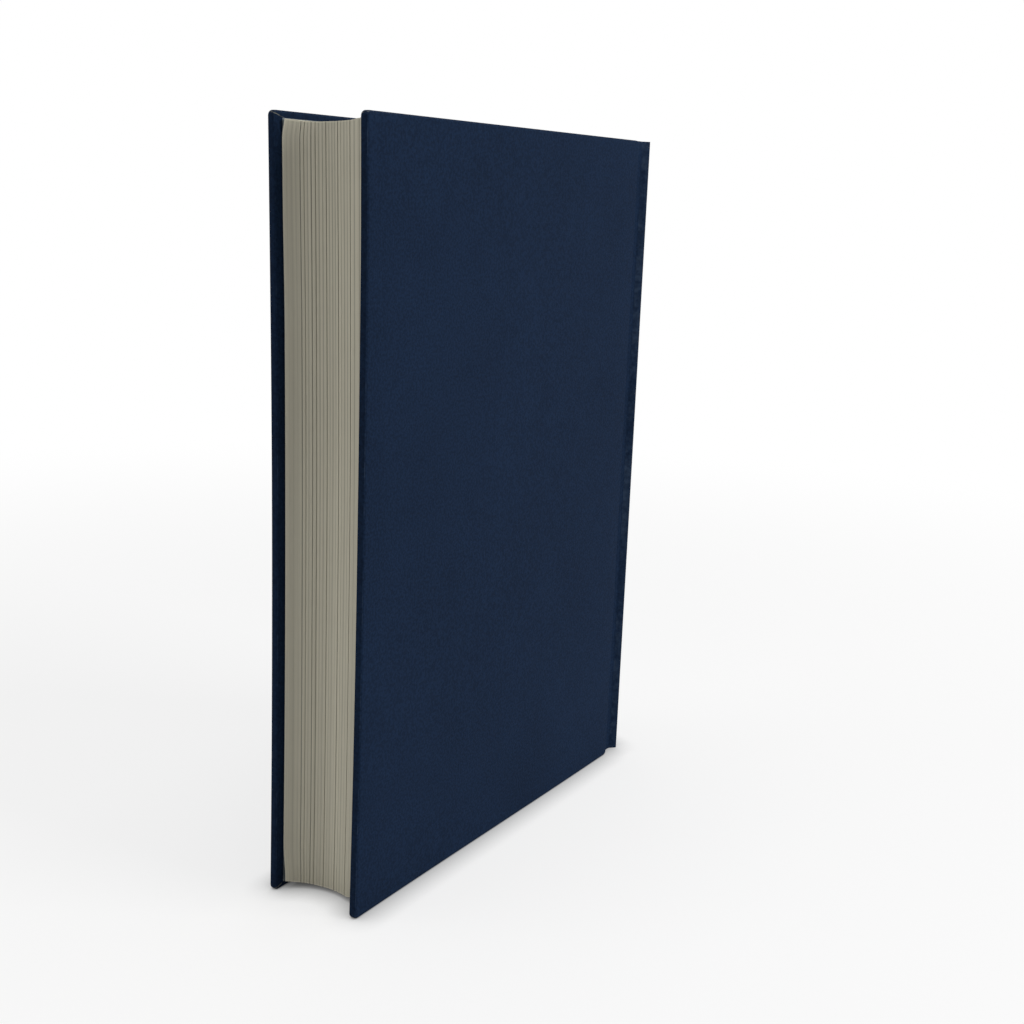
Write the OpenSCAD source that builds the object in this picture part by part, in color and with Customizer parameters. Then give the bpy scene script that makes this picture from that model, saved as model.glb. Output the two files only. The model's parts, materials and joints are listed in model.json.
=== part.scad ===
// Case-bound hardback book, standing on its tail.
// X is the thickness (front cover at -X), Y runs from the fore-edge to the spine, Z is up.
// The origin is the middle of the footprint, on the surface that the book stands on.

/* [Pages] */
// Width of a page, from the fore-edge to the fold
page_w = 170; // [120:1:220]
// Height of a page
page_h = 240; // [180:1:320]
// Thickness of all the pages together
block_t = 28.6; // [18:0.2:50]
// Depth of the hollow in the fore-edge, and height of the round at the back
round_rise = 4.5; // [2:0.1:5.5]
// Number of folded sections that the pages are sewn from
sections = 11; // [4:1:16]
// Width of the slit between two sections at the cut edges
slit_w = 0.12; // [0.08:0.01:0.2]
// Depth of the slit between two sections
slit_depth = 0.3; // [0.1:0.05:0.6]
// How far the backed shoulder stands out past the side of the pages
shoulder = 1.6; // [1.2:0.1:2]
// Radius of the shoulder's ridge
shoulder_r = 0.5; // [0.4:0.05:0.6]
// Radius of the bend at the foot of the shoulder
shoulder_bend = 1; // [0.8:0.1:1.3]
// Angle that the shoulder leans out at
shoulder_turn = 60; // [50:1:65]

/* [Covers] */
// Thickness of the greyboard in each cover
board_t = 2.2; // [1.6:0.1:3.5]
// How far a cover stands past the pages at the fore-edge
fore_square = 3.4; // [2:0.1:6]
// How far a cover stands past the pages at the head and at the tail
end_square = 2.1; // [2:0.1:5]
// Radius over which the cloth rounds the edges of a cover
edge_round = 0.9; // [0.7:0.1:1.3]
// Radius of a cover's corners, seen from the side
corner_round = 1.6; // [1:0.1:4]
// Width of the cloth turned in over the inner face of a cover
turn_in = 15; // [10:0.5:20]
// Width of the mitre seam where two turn-ins meet
mitre_w = 0.15; // [0.1:0.05:0.3]
// Depth of the mitre seam
mitre_depth = 0.15; // [0.05:0.05:0.2]

/* [Cloth, paper and lining] */
// Thickness of the covering cloth
cloth_t = 0.3; // [0.2:0.05:0.4]
// Thickness of the endpaper
leaf_t = 0.15; // [0.1:0.05:0.25]
// Thickness of the mull, the gauze over the spine
mull_t = 0.2; // [0.1:0.05:0.25]
// Width of the mull's flap on each board
mull_flap = 25; // [15:1:40]
// Bare margin round the part of the pastedown that is pressed down between the turn-ins
well_margin = 0.5; // [0.3:0.1:1]
// Thickness of the kraft liner on the spine
liner_t = 0.25; // [0.15:0.05:0.5]

/* [Spine and joint] */
// Thickness of the card that stiffens the spine
stiffener_t = 0.7; // [0.4:0.1:1]
// Outer radius of the ridge along each side of the spine
ridge_r = 0.9; // [0.8:0.05:1.1]
// Radius of the bend from the groove up to the ridge
groove_bend = 1.2; // [1:0.1:1.6]
// Width of the flat floor of the groove that swings with a cover
groove_floor = 5.5; // [4:0.5:9]
// Radius of the bead of the headband and the tailband
bead_r = 0.85; // [0.5:0.05:0.95]
// Height of the band's tape down the back of the pages
band_tape = 10; // [6:0.5:14]

/* [Clearances] */
// Glue line between two layers that are stuck together
glue = 0.02; // [0.01:0.01:0.03]
// Running clearance between a cover and what stays with the pages
clear = 0.3; // [0.3:0.05:0.5]

/* [Hidden] */
$fn = 64;
// How far a cut runs past the face that it starts from
past = 1;

// Colours
navy = [0.09, 0.14, 0.22];
page_cream = [0.80, 0.78, 0.71];
endpaper_blue = [0.45, 0.49, 0.52];
grey_board = [0.60, 0.57, 0.50];
kraft = [0.66, 0.50, 0.34];
gauze = [0.93, 0.91, 0.84];
band_white = [0.90, 0.89, 0.85];

// Levels across the thickness, from the middle of the pages out to the cover
half_block = block_t / 2;
leaf_x = half_block + glue;
pastedown_x = leaf_x + leaf_t + clear;
turn_x = pastedown_x + leaf_t + glue;
board_x = turn_x + cloth_t + glue;
cloth_x = board_x + board_t + glue;
cover_x = cloth_x + cloth_t;
floor_x = board_x + cloth_t;

// Radii of the layers over the back of the pages, about one upright line
back_half = half_block + shoulder;
back_r = (back_half * back_half + round_rise * round_rise) / (2 * round_rise);
mull_r = back_r + glue;
liner_r = mull_r + mull_t + glue;
hollow_r = liner_r + liner_t + clear;
stiffener_r = hollow_r + cloth_t + glue;
cloth_r = stiffener_r + stiffener_t + glue;
spine_r = cloth_r + cloth_t;

// Places from the fore-edge to the spine
depth = fore_square + page_w + round_rise + spine_r - back_r;
cover_y = -depth / 2;
fore_y = cover_y + fore_square;
fold_y = fore_y + page_w;
round_y = fold_y + round_rise - back_r;

// Heights
cover_h = page_h + 2 * end_square;
head_z = end_square + page_h;

// The ridge of the spine is round about the line that the cover turns on,
// and the groove's floor passes it with the running clearance.
hinge_x = floor_x + ridge_r + clear;
hinge_y = ridge_y(hinge_x, spine_r, ridge_r);
shoulder_x = back_half - shoulder_r;
shoulder_y = ridge_y(shoulder_x, back_r, shoulder_r);
mull_ridge = shoulder_r + glue + mull_t;

// The cloth leaves the groove at the angle at which it just clears the mull on the shoulder.
ridge_step = [hinge_x - shoulder_x, hinge_y - shoulder_y];
groove_turn = acos((mull_ridge + glue - ridge_r + cloth_t) / norm(ridge_step))
              - atan2(ridge_step[1], ridge_step[0]);

// The cover's side of the joint ends below the lowest of the three bends.
joint_y = min(
    bend_start(floor_x, hinge_x, spine_r, ridge_r, groove_bend, groove_turn),
    bend_start(floor_x - cloth_t - glue, shoulder_x, mull_r + mull_t, mull_ridge,
               shoulder_bend, shoulder_turn),
    bend_start(half_block, shoulder_x, back_r, shoulder_r, shoulder_bend, shoulder_turn)) - clear;
spine_edge_y = joint_y - groove_floor;
card_half = hinge_x - ridge_r;

// Points along an arc about c, from one angle to another
function arc_points(c, r, from, to, steps) =
    [for (i = [0 : steps]) let (a = from + (to - from) * i / steps) c + r * [cos(a), sin(a)]];

// A list the other way round
function backwards(list) = [for (i = [len(list) - 1 : -1 : 0]) list[i]];

// Height along Y of a ridge's centre, for a ridge inside the round of radius r
function ridge_y(ridge_x, r, ridge) = round_y + sqrt(pow(r - ridge, 2) - pow(ridge_x, 2));

// Where a side wall starts to bend out towards the ridge
function bend_start(side, ridge_x, r, ridge, bend, turn) =
    ridge_y(ridge_x, r, ridge)
    - ((ridge_x - side - bend) * cos(turn) + ridge + bend) / sin(turn);

// Half of the back's outline: up the side wall, out round the bend, over the ridge, to the crown
function half_back(side, ridge_x, r, ridge, bend, turn, from_y) =
    let (lean = asin(ridge_x / (r - ridge)))
    concat(
        [[side, from_y]],
        arc_points([side + bend, bend_start(side, ridge_x, r, ridge, bend, turn)],
                   bend, 180, 180 - turn, 5),
        arc_points([ridge_x, ridge_y(ridge_x, r, ridge)], ridge, -turn, 90 - lean, 8),
        arc_points([0, round_y], r, 90 - lean + 1, 90, 14));

// The whole outline of the back, from one side wall to the other
function whole_back(half) =
    concat(half, [for (i = [len(half) - 2 : -1 : 0]) [-half[i][0], half[i][1]]]);

// A layer of thickness t that follows the back, whose outer face the arguments give
module back_layer(side, ridge_x, r, ridge, bend, turn, from_y, t) {
    outer = whole_back(half_back(side, ridge_x, r, ridge, bend, turn, from_y));
    inner = whole_back(half_back(side - t, ridge_x, r - t, ridge - t, bend + t, turn, from_y));
    polygon(concat(outer, backwards(inner)));
}

// A curved strip between two radii of the back's round, out to half_w on each side
module round_strip(inner_r, outer_r, half_w) {
    lean = asin(half_w / outer_r);
    polygon(concat(arc_points([0, round_y], outer_r, 90 - lean, 90 + lean, 28),
                   arc_points([0, round_y], inner_r, 90 + lean, 90 - lean, 28)));
}

// A square outline with round corners, as true arcs
module round_outline(w, h, r) {
    translate([r, 0]) square([w - 2 * r, h]);
    translate([0, r]) square([w, h - 2 * r]);
    for (x = [r, w - r], y = [r, h - r]) translate([x, y]) circle(r);
}

// The outer form of a cover, drawn in by inset: three round outlines crossed with each other
module cover_form(inset) {
    x = turn_x + inset;
    y = cover_y + inset;
    w = cover_x - turn_x - 2 * inset;
    l = spine_edge_y - cover_y - 2 * inset;
    h = cover_h - 2 * inset;
    edge = edge_round - inset;
    corner = corner_round - inset;
    intersection() {
        translate([x, y, inset]) linear_extrude(h) round_outline(w, l, edge);
        translate([x, y + l, inset]) rotate([90, 0, 0]) linear_extrude(l) round_outline(w, h, edge);
        translate([x, y, inset]) rotate([90, 0, 90]) linear_extrude(w) round_outline(l, h, corner);
    }
}

// A box from its lowest corner to its highest
module span(low, high) {
    translate(low) cube(high - low);
}

// Pages: one solid with a hollow fore-edge, a round backed spine and slits between the sections
module text_block() {
    fore_r = (half_block * half_block + round_rise * round_rise) / (2 * round_rise);
    fore_centre_y = fore_y + round_rise - fore_r;
    pitch = block_t / sections;
    color(page_cream) difference() {
        translate([0, 0, end_square]) linear_extrude(page_h) difference() {
            polygon(whole_back(half_back(half_block, shoulder_x, back_r, shoulder_r,
                                         shoulder_bend, shoulder_turn, fore_y)));
            translate([0, fore_centre_y]) circle(fore_r, $fn = 180);
        }
        for (i = [1 : sections - 1]) let (x = -half_block + i * pitch,
                                          hollow_y = fore_centre_y + sqrt(fore_r * fore_r - x * x)) {
            span([x - slit_w / 2, fore_y - past, end_square - past],
                 [x + slit_w / 2, hollow_y + slit_depth, head_z + past]);
            for (z = [end_square, head_z])
                span([x - slit_w / 2, fore_y - past, z - slit_depth],
                     [x + slit_w / 2, fold_y, z + slit_depth]);
        }
    }
}

// Flyleaf on the back cover's side: a page of the endpaper, tipped on along its fold
module flyleaf() {
    color(endpaper_blue)
        span([leaf_x, fore_y, end_square], [leaf_x + leaf_t, joint_y, head_z]);
}

// Mull: gauze glued over the back of the pages and round the shoulders
module mull_lining() {
    color(gauze) translate([0, 0, end_square + band_tape + glue])
        linear_extrude(page_h - 2 * band_tape - 2 * glue)
        back_layer(floor_x - cloth_t - glue, shoulder_x, mull_r + mull_t, mull_ridge,
                   shoulder_bend, shoulder_turn, joint_y + clear, mull_t);
}

// Kraft liner over the mull and the tapes of the two bands
module spine_liner() {
    color(kraft) translate([0, 0, end_square]) linear_extrude(page_h)
        round_strip(liner_r, liner_r + liner_t, half_block);
}

// Headband: a round bead on the edge of the pages with its tape down their back
module headband() {
    lean = asin(half_block / back_r);
    tape_r = mull_r + mull_t;
    color(band_white) translate([0, round_y, head_z]) rotate([0, 0, 90 - lean])
        rotate_extrude(angle = 2 * lean, $fn = 180) {
            translate([tape_r - bead_r, glue + bead_r]) circle(bead_r, $fn = 32);
            translate([mull_r, -band_tape]) square([mull_t, band_tape + glue + bead_r]);
        }
}

module tailband() {
    translate([0, 0, cover_h]) mirror([0, 0, 1]) headband();
}

// Card that keeps the spine of the case stiff and round
module spine_stiffener() {
    color(grey_board) translate([0, 0, cloth_t + glue]) linear_extrude(cover_h - 2 * cloth_t - 2 * glue)
        round_strip(stiffener_r, stiffener_r + stiffener_t, card_half);
}

// Spine cloth: over the card and the ridges, and turned in over the card at the head and the tail
module spine_cloth() {
    color(navy) {
        linear_extrude(cover_h)
            back_layer(floor_x, hinge_x, spine_r, ridge_r, groove_bend, groove_turn,
                       joint_y + clear, cloth_t);
        for (end = [0, 1]) translate([0, 0, end * cover_h]) mirror([0, 0, end]) {
            linear_extrude(turn_in) round_strip(hollow_r, hollow_r + cloth_t, card_half);
            linear_extrude(cloth_t) round_strip(hollow_r, cloth_r + cloth_t / 2, card_half);
        }
    }
}

// Greyboard of the back cover
module board() {
    color(grey_board) cover_form(cloth_t + glue);
}

// Cloth of the back cover: wrapped round the board, turned in on three sides, and run on
// along the floor of the groove
module cover_cloth() {
    color(navy) difference() {
        union() {
            cover_form(0);
            span([turn_x, spine_edge_y - edge_round - cloth_t, 0], [floor_x, joint_y, cover_h]);
        }
        cover_form(cloth_t);
        span([turn_x - past, cover_y + turn_in, turn_in],
             [board_x - glue / 2, joint_y + past, cover_h - turn_in]);
        for (end = [0, 1]) translate([0, cover_y, end * cover_h]) mirror([0, 0, end])
            mitre_seam();
    }
}

// Seam at 45 degrees where the turn-ins of the fore-edge and of one end meet
module mitre_seam() {
    run = (turn_in - corner_round) * sqrt(2);
    translate([turn_x - past, corner_round, corner_round]) rotate([45, 0, 0])
        translate([0, 0, -mitre_w / 2]) cube([past + mitre_depth, run, mitre_w]);
}

// Flap of the mull, glued on the board between the turn-ins and along the groove's cloth
module mull_on_board() {
    color(gauze)
        span([board_x - glue - mull_t, spine_edge_y - mull_flap, turn_in + glue],
             [board_x - glue, joint_y, cover_h - turn_in - glue]);
}

// Pastedown of the back cover: pressed down onto the board inside the turn-ins
module pastedown() {
    low = [pastedown_x, fore_y, end_square];
    high = [pastedown_x + leaf_t, joint_y, head_z];
    well_low = [low[0], cover_y + turn_in + well_margin, turn_in + well_margin];
    well_high = [high[0] + cloth_t, spine_edge_y - mull_flap - well_margin,
                 cover_h - turn_in - well_margin];
    color(endpaper_blue) difference() {
        union() {
            span(low, high);
            span(well_low, well_high);
        }
        span(well_low + [-past, leaf_t, leaf_t], well_high - [leaf_t, leaf_t, leaf_t]);
    }
}

// The same piece on the front cover's side
module on_front() {
    mirror([1, 0, 0]) children();
}

text_block();
on_front() flyleaf();  // front_flyleaf
flyleaf();  // back_flyleaf
mull_lining();
spine_liner();
headband();
tailband();
spine_stiffener();
spine_cloth();
on_front() board();  // front_board
on_front() cover_cloth();  // front_cover_cloth
on_front() mull_on_board();  // front_mull_flap
on_front() pastedown();  // front_pastedown
board();  // back_board
cover_cloth();  // back_cover_cloth
mull_on_board();  // back_mull_flap
pastedown();  // back_pastedown
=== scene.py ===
"""Case-bound hardback book in dark blue cloth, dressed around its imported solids.

X is the thickness (front cover at -X), Y runs from the fore-edge to the spine and Z is up, in metres.
Every piece is made for the back cover's side first, and mirrored where the front needs one too.
"""
import json
import logging
import math
from contextlib import contextmanager
from dataclasses import dataclass, field, replace
from enum import Enum
from functools import partial, reduce
from typing import Callable, ClassVar, Iterator, Sequence

import bmesh
import bpy
from mathutils import Matrix, Vector, noise


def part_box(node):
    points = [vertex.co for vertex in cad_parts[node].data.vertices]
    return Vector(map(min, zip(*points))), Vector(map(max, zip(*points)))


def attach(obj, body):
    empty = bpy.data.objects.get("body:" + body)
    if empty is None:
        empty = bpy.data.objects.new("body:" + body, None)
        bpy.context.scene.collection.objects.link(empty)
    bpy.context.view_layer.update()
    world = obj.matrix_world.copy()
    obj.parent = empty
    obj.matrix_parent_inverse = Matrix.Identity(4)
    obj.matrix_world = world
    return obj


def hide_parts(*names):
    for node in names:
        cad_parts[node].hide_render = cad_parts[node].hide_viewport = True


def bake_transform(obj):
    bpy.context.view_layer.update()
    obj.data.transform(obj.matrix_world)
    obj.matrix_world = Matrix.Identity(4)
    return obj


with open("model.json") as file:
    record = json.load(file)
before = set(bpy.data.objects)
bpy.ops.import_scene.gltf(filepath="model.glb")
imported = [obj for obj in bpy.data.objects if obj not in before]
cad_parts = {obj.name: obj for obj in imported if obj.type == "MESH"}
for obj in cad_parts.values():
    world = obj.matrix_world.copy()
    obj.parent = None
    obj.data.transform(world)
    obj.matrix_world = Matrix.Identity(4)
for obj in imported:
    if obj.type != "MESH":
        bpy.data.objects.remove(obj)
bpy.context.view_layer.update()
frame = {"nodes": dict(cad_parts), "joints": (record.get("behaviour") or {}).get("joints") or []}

LOG = logging.getLogger("hardback_book")
MM = 0.001
UP = (0.0, 0.0, 1.0)
TINY = 1e-7
MERGE = 1e-6

Colour = tuple[float, float, float]
Point = tuple[float, float, float]
Box = tuple[Vector, Vector]
Shape = Callable[[Vector], Vector]


class Side(Enum):
    """The two covers, with the sign of X on which each one lies."""

    FRONT = -1
    BACK = 1

    @property
    def body(self) -> str:
        """Name of the body that this cover's pieces ride on."""
        return f"{self.word}_cover"

    @property
    def word(self) -> str:
        """Word that this side's names start with."""
        return self.name.lower()


class Pick(Enum):
    """What is selected in edit mode."""

    CORNERS = "VERT"
    EDGES = "EDGE"
    FACES = "FACE"


class Axis(Enum):
    """The frame's axes, by their place in a point."""

    X = 0
    Y = 1
    Z = 2


def linear(red: int, green: int, blue: int) -> Colour:
    """Turns a colour of 0 to 255 per channel into the linear values that shaders take.

    Args:
        red: Red as it shows on a screen.
        green: Green as it shows on a screen.
        blue: Blue as it shows on a screen.

    Returns:
        The linear red, green and blue.
    """
    shares = [channel / 255 for channel in (red, green, blue)]
    return tuple(s / 12.92 if s <= 0.04045 else ((s + 0.055) / 1.055) ** 2.4 for s in shares)


def ease(share: float) -> float:
    """Smooth step from 0 to 1 for a share that is cut off at both ends."""
    share = min(1.0, max(0.0, share))
    return share * share * (3 - 2 * share)


def smooth_step(value: float, low: float, high: float) -> float:
    """Smooth step of a value, from 0 at low to 1 at high."""
    return ease((value - low) / (high - low))


def wave(point: Sequence[float], size: float, seed: float) -> float:
    """Smooth noise from about -1 to 1, whose humps are about size across."""
    return noise.noise(Vector(point) / size + Vector((seed, -seed, 0.5 * seed)))


def around(centre: Vector, radius: float, angle: float) -> Vector:
    """Point of a circle in plan, at an angle from +X."""
    return centre + radius * Vector((math.cos(angle), math.sin(angle), 0))


def box_of(node: str) -> object:
    """Field that holds the lowest and the highest corner of a node of the frame."""
    return field(default_factory=lambda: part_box(node))


@dataclass(frozen=True)
class BookSizes:
    """Places that several pieces share, in metres, for the back cover's side."""

    glue: float = 0.02 * MM
    cloth: float = 0.3 * MM
    edge_round: float = 0.9 * MM
    corner_round: float = 1.6 * MM
    turn_in: float = 15 * MM
    groove_bend: float = 1.2 * MM
    groove_fillet: float = 0.55 * MM
    shoulder_round: float = 0.5 * MM
    shoulder_bend: float = 1 * MM
    shoulder_turn: float = math.radians(60)
    mull: float = 0.2 * MM
    paper: float = 0.12 * MM
    fillets: int = 6
    close_levels: tuple[float, ...] = (0, 0.25, 0.55, 1.2, 2, 3, 4, 5.5, 7, 9, 11.5, 14)
    even_levels: int = 30
    cover: Box = box_of("back_cover_cloth")
    board: Box = box_of("back_board")
    pages: Box = box_of("text_block")
    leaf: Box = box_of("back_flyleaf")
    paste: Box = box_of("back_pastedown")
    card: Box = box_of("spine_stiffener")
    spine: Box = box_of("spine_cloth")

    @property
    def hinge(self) -> Vector:
        """Where the back cover turns, at the middle of its height."""
        joint = next(j for j in frame["joints"] if j["child"] == Side.BACK.body)
        return Vector(joint["pos_m"])

    @property
    def groove_turn(self) -> float:
        """Angle by which the cloth turns out of the groove, just clear of the shoulder."""
        step = self.hinge - self.shoulder
        lining = self.shoulder_round + self.glue + self.mull
        clear = lining + self.glue - self.ridge + self.cloth
        return math.acos(clear / math.hypot(step.x, step.y)) - math.atan2(step.y, step.x)

    @property
    def hollow(self) -> float:
        """Depth of the fore-edge's hollow, which is the height of the back's round."""
        return self.back_round - math.sqrt(self.back_round ** 2 - self.pages[1].x ** 2)

    @property
    def height(self) -> float:
        """Height of the covers, which is that of the book."""
        return self.cover[1].z

    @property
    def ridge(self) -> float:
        """Outer radius of the spine's ridge, which is round about the hinge."""
        return self.hinge.x - self.card[1].x

    @property
    def spine_round(self) -> float:
        """Outer radius of the spine's cloth, tangent to both ridges."""
        rise = self.spine[1].y - self.hinge.y
        return (rise ** 2 - self.ridge ** 2 + self.hinge.x ** 2) / (2 * (rise - self.ridge))

    @property
    def round_y(self) -> float:
        """Middle of all the rounds of the back."""
        return self.spine[1].y - self.spine_round

    @property
    def spine_lean(self) -> float:
        """Angle from the middle of the spine to where its cloth meets a ridge."""
        return math.asin(self.hinge.x / (self.spine_round - self.ridge))

    @property
    def floor_x(self) -> float:
        """Outer face of the cloth in the groove."""
        return self.board[0].x + self.cloth

    @property
    def board_end(self) -> float:
        """Where the stiff part of a cover ends at the groove."""
        return self.board[1].y + self.cloth + self.glue

    @property
    def half_block(self) -> float:
        """Half of the pages' thickness at the cut edges."""
        return self.leaf[0].x - self.glue

    @property
    def page_levels(self) -> list[float]:
        """Heights of the corners of pages and flyleaves, close together at the tail and the head."""
        low, high = self.pages[0].z, self.pages[1].z
        close = [step * MM for step in self.close_levels]
        middle = even_places(low + close[-1], high - close[-1], self.even_levels)
        return [low + step for step in close] + middle + [high - step for step in reversed(close)]

    @property
    def back_round(self) -> float:
        """Radius of the pages' rounded back."""
        return self.pages[1].y - self.round_y

    @property
    def shoulder(self) -> Vector:
        """Middle of the round on the pages' backed shoulder."""
        x = self.pages[1].x - self.shoulder_round
        y = self.round_y + math.sqrt((self.back_round - self.shoulder_round) ** 2 - x * x)
        return Vector((x, y, 0))


@dataclass(frozen=True)
class Warp:
    """How the upright book has warped: a bow to one side, covers that splay, and pages that sag."""

    sizes: BookSizes
    bow: float = 1.0 * MM
    straight_at: float = 0.45
    splay: float = 0.22 * MM
    splayed_at: float = 0.7
    stand_off: float = 0.45 * MM
    upright_at: float = -0.4
    sag: float = 0.68 * MM
    skew: float = 0.3
    lift: float = 0.75 * MM
    rise: float = 0.2 * MM
    settle: float = 0.45 * MM
    hump: float = 0.33
    slide: float = 0.6 * MM
    set_back: float = 1.6 * MM
    bulge: float = 0.36 * MM
    pinch: float = 0.9 * MM
    stiff_from: float = 60 * MM
    reach: float = 140 * MM

    def freedom(self, spot: Vector) -> float:
        """How freely a place can move: 1 at the fore-edge, 0 at the joints."""
        return ease((self.stiff_from - spot.y) / self.reach)

    def tall(self, spot: Vector) -> float:
        """How high a place lies: -1 at the tail of the covers, 0 half way up, 1 at their head."""
        return 2 * spot.z / self.sizes.height - 1

    def bend(self, spot: Vector) -> Vector:
        """Bows a point of any piece to one side, most at the middle of the height."""
        bowed = self.bow * (self.straight_at - self.tall(spot) ** 2)
        return spot + Vector((bowed * self.freedom(spot), 0, 0))

    def bend_cover(self, side: Side) -> Shape:
        """Gives the shape for one cover: both splay at the head, and the back one stands off more."""
        def shape(spot: Vector) -> Vector:
            """Bows and splays one point of the cover."""
            tall = min(self.splayed_at, self.tall(spot))
            out = self.splay * ease(tall)
            if side is Side.BACK:
                out += self.stand_off * (tall - self.upright_at)
            return self.bend(spot) + Vector((side.value * out * self.freedom(spot), 0, 0))
        return shape

    def bend_pages(self, spot: Vector) -> Vector:
        """Bows a point of the pages or a flyleaf, which also sag, slide and curl in their case.

        Args:
            spot: The point, before the book warped.

        Returns:
            The point as it lies now.
        """
        share = min(1.0, max(-1.0, spot.x / self.sizes.half_block))
        tall, front, back = self.tall(spot), max(0.0, -share), max(0.0, share)
        drop = self.sag * (1 - share * share) * (1 - self.skew * share) - self.rise
        drop -= self.lift * smooth_step(share, 0.4, 1.0)
        drop += self.settle * tall * (ease(1.4 * front) - self.hump * math.sin(math.pi * back))
        corner = smooth_step(tall, 0.94, 0.985) + smooth_step(-tall, 0.87, 0.98)
        swollen = self.bulge * smooth_step(tall, 0.5, 0.8)
        drawn = (self.pinch * corner - swollen) * smooth_step(front, 0.375, 1.0)
        slid = self.set_back * smooth_step(back, 0.5, 0.9) - self.slide * ease(front)
        return self.bend(spot) + self.freedom(spot) * Vector((drawn, slid, -drop))


def deselect() -> None:
    """Deselects everything, because loading leaves the frame's nodes selected."""
    for piece in bpy.context.selected_objects:
        piece.select_set(False)


def take(piece: bpy.types.Object) -> None:
    """Makes a piece the one that the next operator acts on.

    Args:
        piece: The piece.
    """
    deselect()
    piece.select_set(True)
    bpy.context.view_layer.objects.active = piece


@contextmanager
def editing(piece: bpy.types.Object, pick: Pick = Pick.CORNERS) -> Iterator[None]:
    """Opens a piece in edit mode with nothing selected, and leaves edit mode at the end.

    Args:
        piece: The piece to work on.
        pick: What is selected by hand in this mode.

    Yields:
        Nothing; the operators act on the open piece.
    """
    take(piece)
    bpy.ops.object.mode_set(mode="EDIT")
    bpy.ops.mesh.select_mode(type=pick.value)
    bpy.ops.mesh.select_all(action="DESELECT")
    try:
        yield
    finally:
        bpy.ops.object.mode_set(mode="OBJECT")


def pick_edges(piece: bpy.types.Object, wanted: Callable[[Vector, Vector], bool]) -> None:
    """Selects the edges whose two ends pass a test, on a piece that is open in edit mode.

    Args:
        piece: The open piece.
        wanted: Test on the two ends of an edge.
    """
    cage = bmesh.from_edit_mesh(piece.data)
    for edge in cage.edges:
        edge.select_set(wanted(edge.verts[0].co, edge.verts[1].co))
    bmesh.update_edit_mesh(piece.data)


def pick_along(piece: bpy.types.Object, axis: Axis) -> None:
    """Selects the edges that run along one axis, on a piece that is open in edit mode."""
    pick_edges(piece, lambda a, b: abs((b - a)[axis.value]) > 0.999 * (b - a).length)


def name_piece(name: str) -> bpy.types.Object:
    """Names the newest piece and its mesh, and gives the piece back.

    Args:
        name: The name.

    Returns:
        The piece.
    """
    piece = bpy.context.object
    piece.name = name
    piece.data.name = name
    return piece


def new_block(name: str, low: Sequence[float], high: Sequence[float]) -> bpy.types.Object:
    """Adds a plain block from its lowest corner to its highest, as a start for shaping.

    Args:
        name: Name of the piece.
        low: Lowest corner.
        high: Highest corner.

    Returns:
        The block, with its place in its mesh.
    """
    deselect()
    low, high = Vector(low), Vector(high)
    bpy.ops.mesh.primitive_cube_add(size=1, location=(low + high) / 2, scale=high - low)
    piece = name_piece(name)
    bpy.ops.object.transform_apply(location=True, rotation=True, scale=True)
    return piece


def slice_block(piece: bpy.types.Object, slices: dict[Axis, Sequence[int]]) -> None:
    """Divides a block into even slices along its axes.

    Args:
        piece: The block.
        slices: For each axis the number of slices, then of slices in each slice, and so on.
    """
    for axis, counts in slices.items():
        for count in counts:
            with editing(piece, Pick.EDGES):
                pick_along(piece, axis)
                bpy.ops.mesh.subdivide(number_cuts=count - 1)


@dataclass(frozen=True)
class Straight:
    """A straight stretch of a drawn line, to a point."""

    to: Sequence[float]
    steps: int = 1

    def draw(self, here: Vector) -> Vector:
        """Draws the stretch from the selected point on.

        Args:
            here: Place of the selected point.

        Returns:
            Place of the stretch's end.
        """
        step = (Vector(self.to) - here) / self.steps
        for _ in range(self.steps):
            bpy.ops.mesh.extrude_region_move(TRANSFORM_OT_translate={"value": step})
        return Vector(self.to)


@dataclass(frozen=True)
class Bend:
    """A round stretch of a drawn line, anticlockwise about an upright axis for a positive turn."""

    centre: Sequence[float]
    turn: float
    steps: int = 8
    axis: Point = UP

    def draw(self, here: Vector) -> Vector:
        """Draws the stretch from the selected point on.

        Args:
            here: Place of the selected point.

        Returns:
            Place of the stretch's end.
        """
        bpy.ops.mesh.spin(steps=self.steps, angle=-self.turn, center=self.centre, axis=self.axis)
        centre = Vector(self.centre)
        return centre + Matrix.Rotation(self.turn, 3, Vector(self.axis)) @ (here - centre)


Stretch = Straight | Bend


def draw_line(name: str, start: Sequence[float], stretches: Sequence[Stretch]) -> bpy.types.Object:
    """Draws a line from one point on, one stretch after another.

    Args:
        name: Name of the piece.
        start: First point of the line.
        stretches: The straight and round stretches, in order.

    Returns:
        A piece with only the line's edges.
    """
    deselect()
    bpy.ops.mesh.primitive_plane_add(size=MM)
    piece = name_piece(name)
    with editing(piece):
        select_all()
        bpy.ops.mesh.merge(type="CENTER")
        bpy.ops.transform.translate(value=start)
        here = Vector(start)
        for stretch in stretches:
            here = stretch.draw(here)
    return piece


def raise_line(piece: bpy.types.Object, height: float) -> None:
    """Pulls a drawn line straight up into an upright sheet."""
    with editing(piece):
        pull_up(height)


def raise_outline(piece: bpy.types.Object, height: float) -> None:
    """Closes a drawn outline, fills it and pulls it up into an upright bar."""
    with editing(piece):
        merge_corners(MERGE)
        select_all()
        bpy.ops.mesh.edge_face_add()
        pull_up(height)
        point_outwards()


def select_all() -> None:
    """Selects all of the open piece."""
    bpy.ops.mesh.select_all(action="SELECT")


def merge_corners(within: float) -> None:
    """Merges the corners of the open piece that lie within a distance of each other."""
    select_all()
    bpy.ops.mesh.remove_doubles(threshold=within)


def point_outwards() -> None:
    """Turns all the faces of the open piece outwards."""
    select_all()
    bpy.ops.mesh.normals_make_consistent(inside=False)


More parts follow.
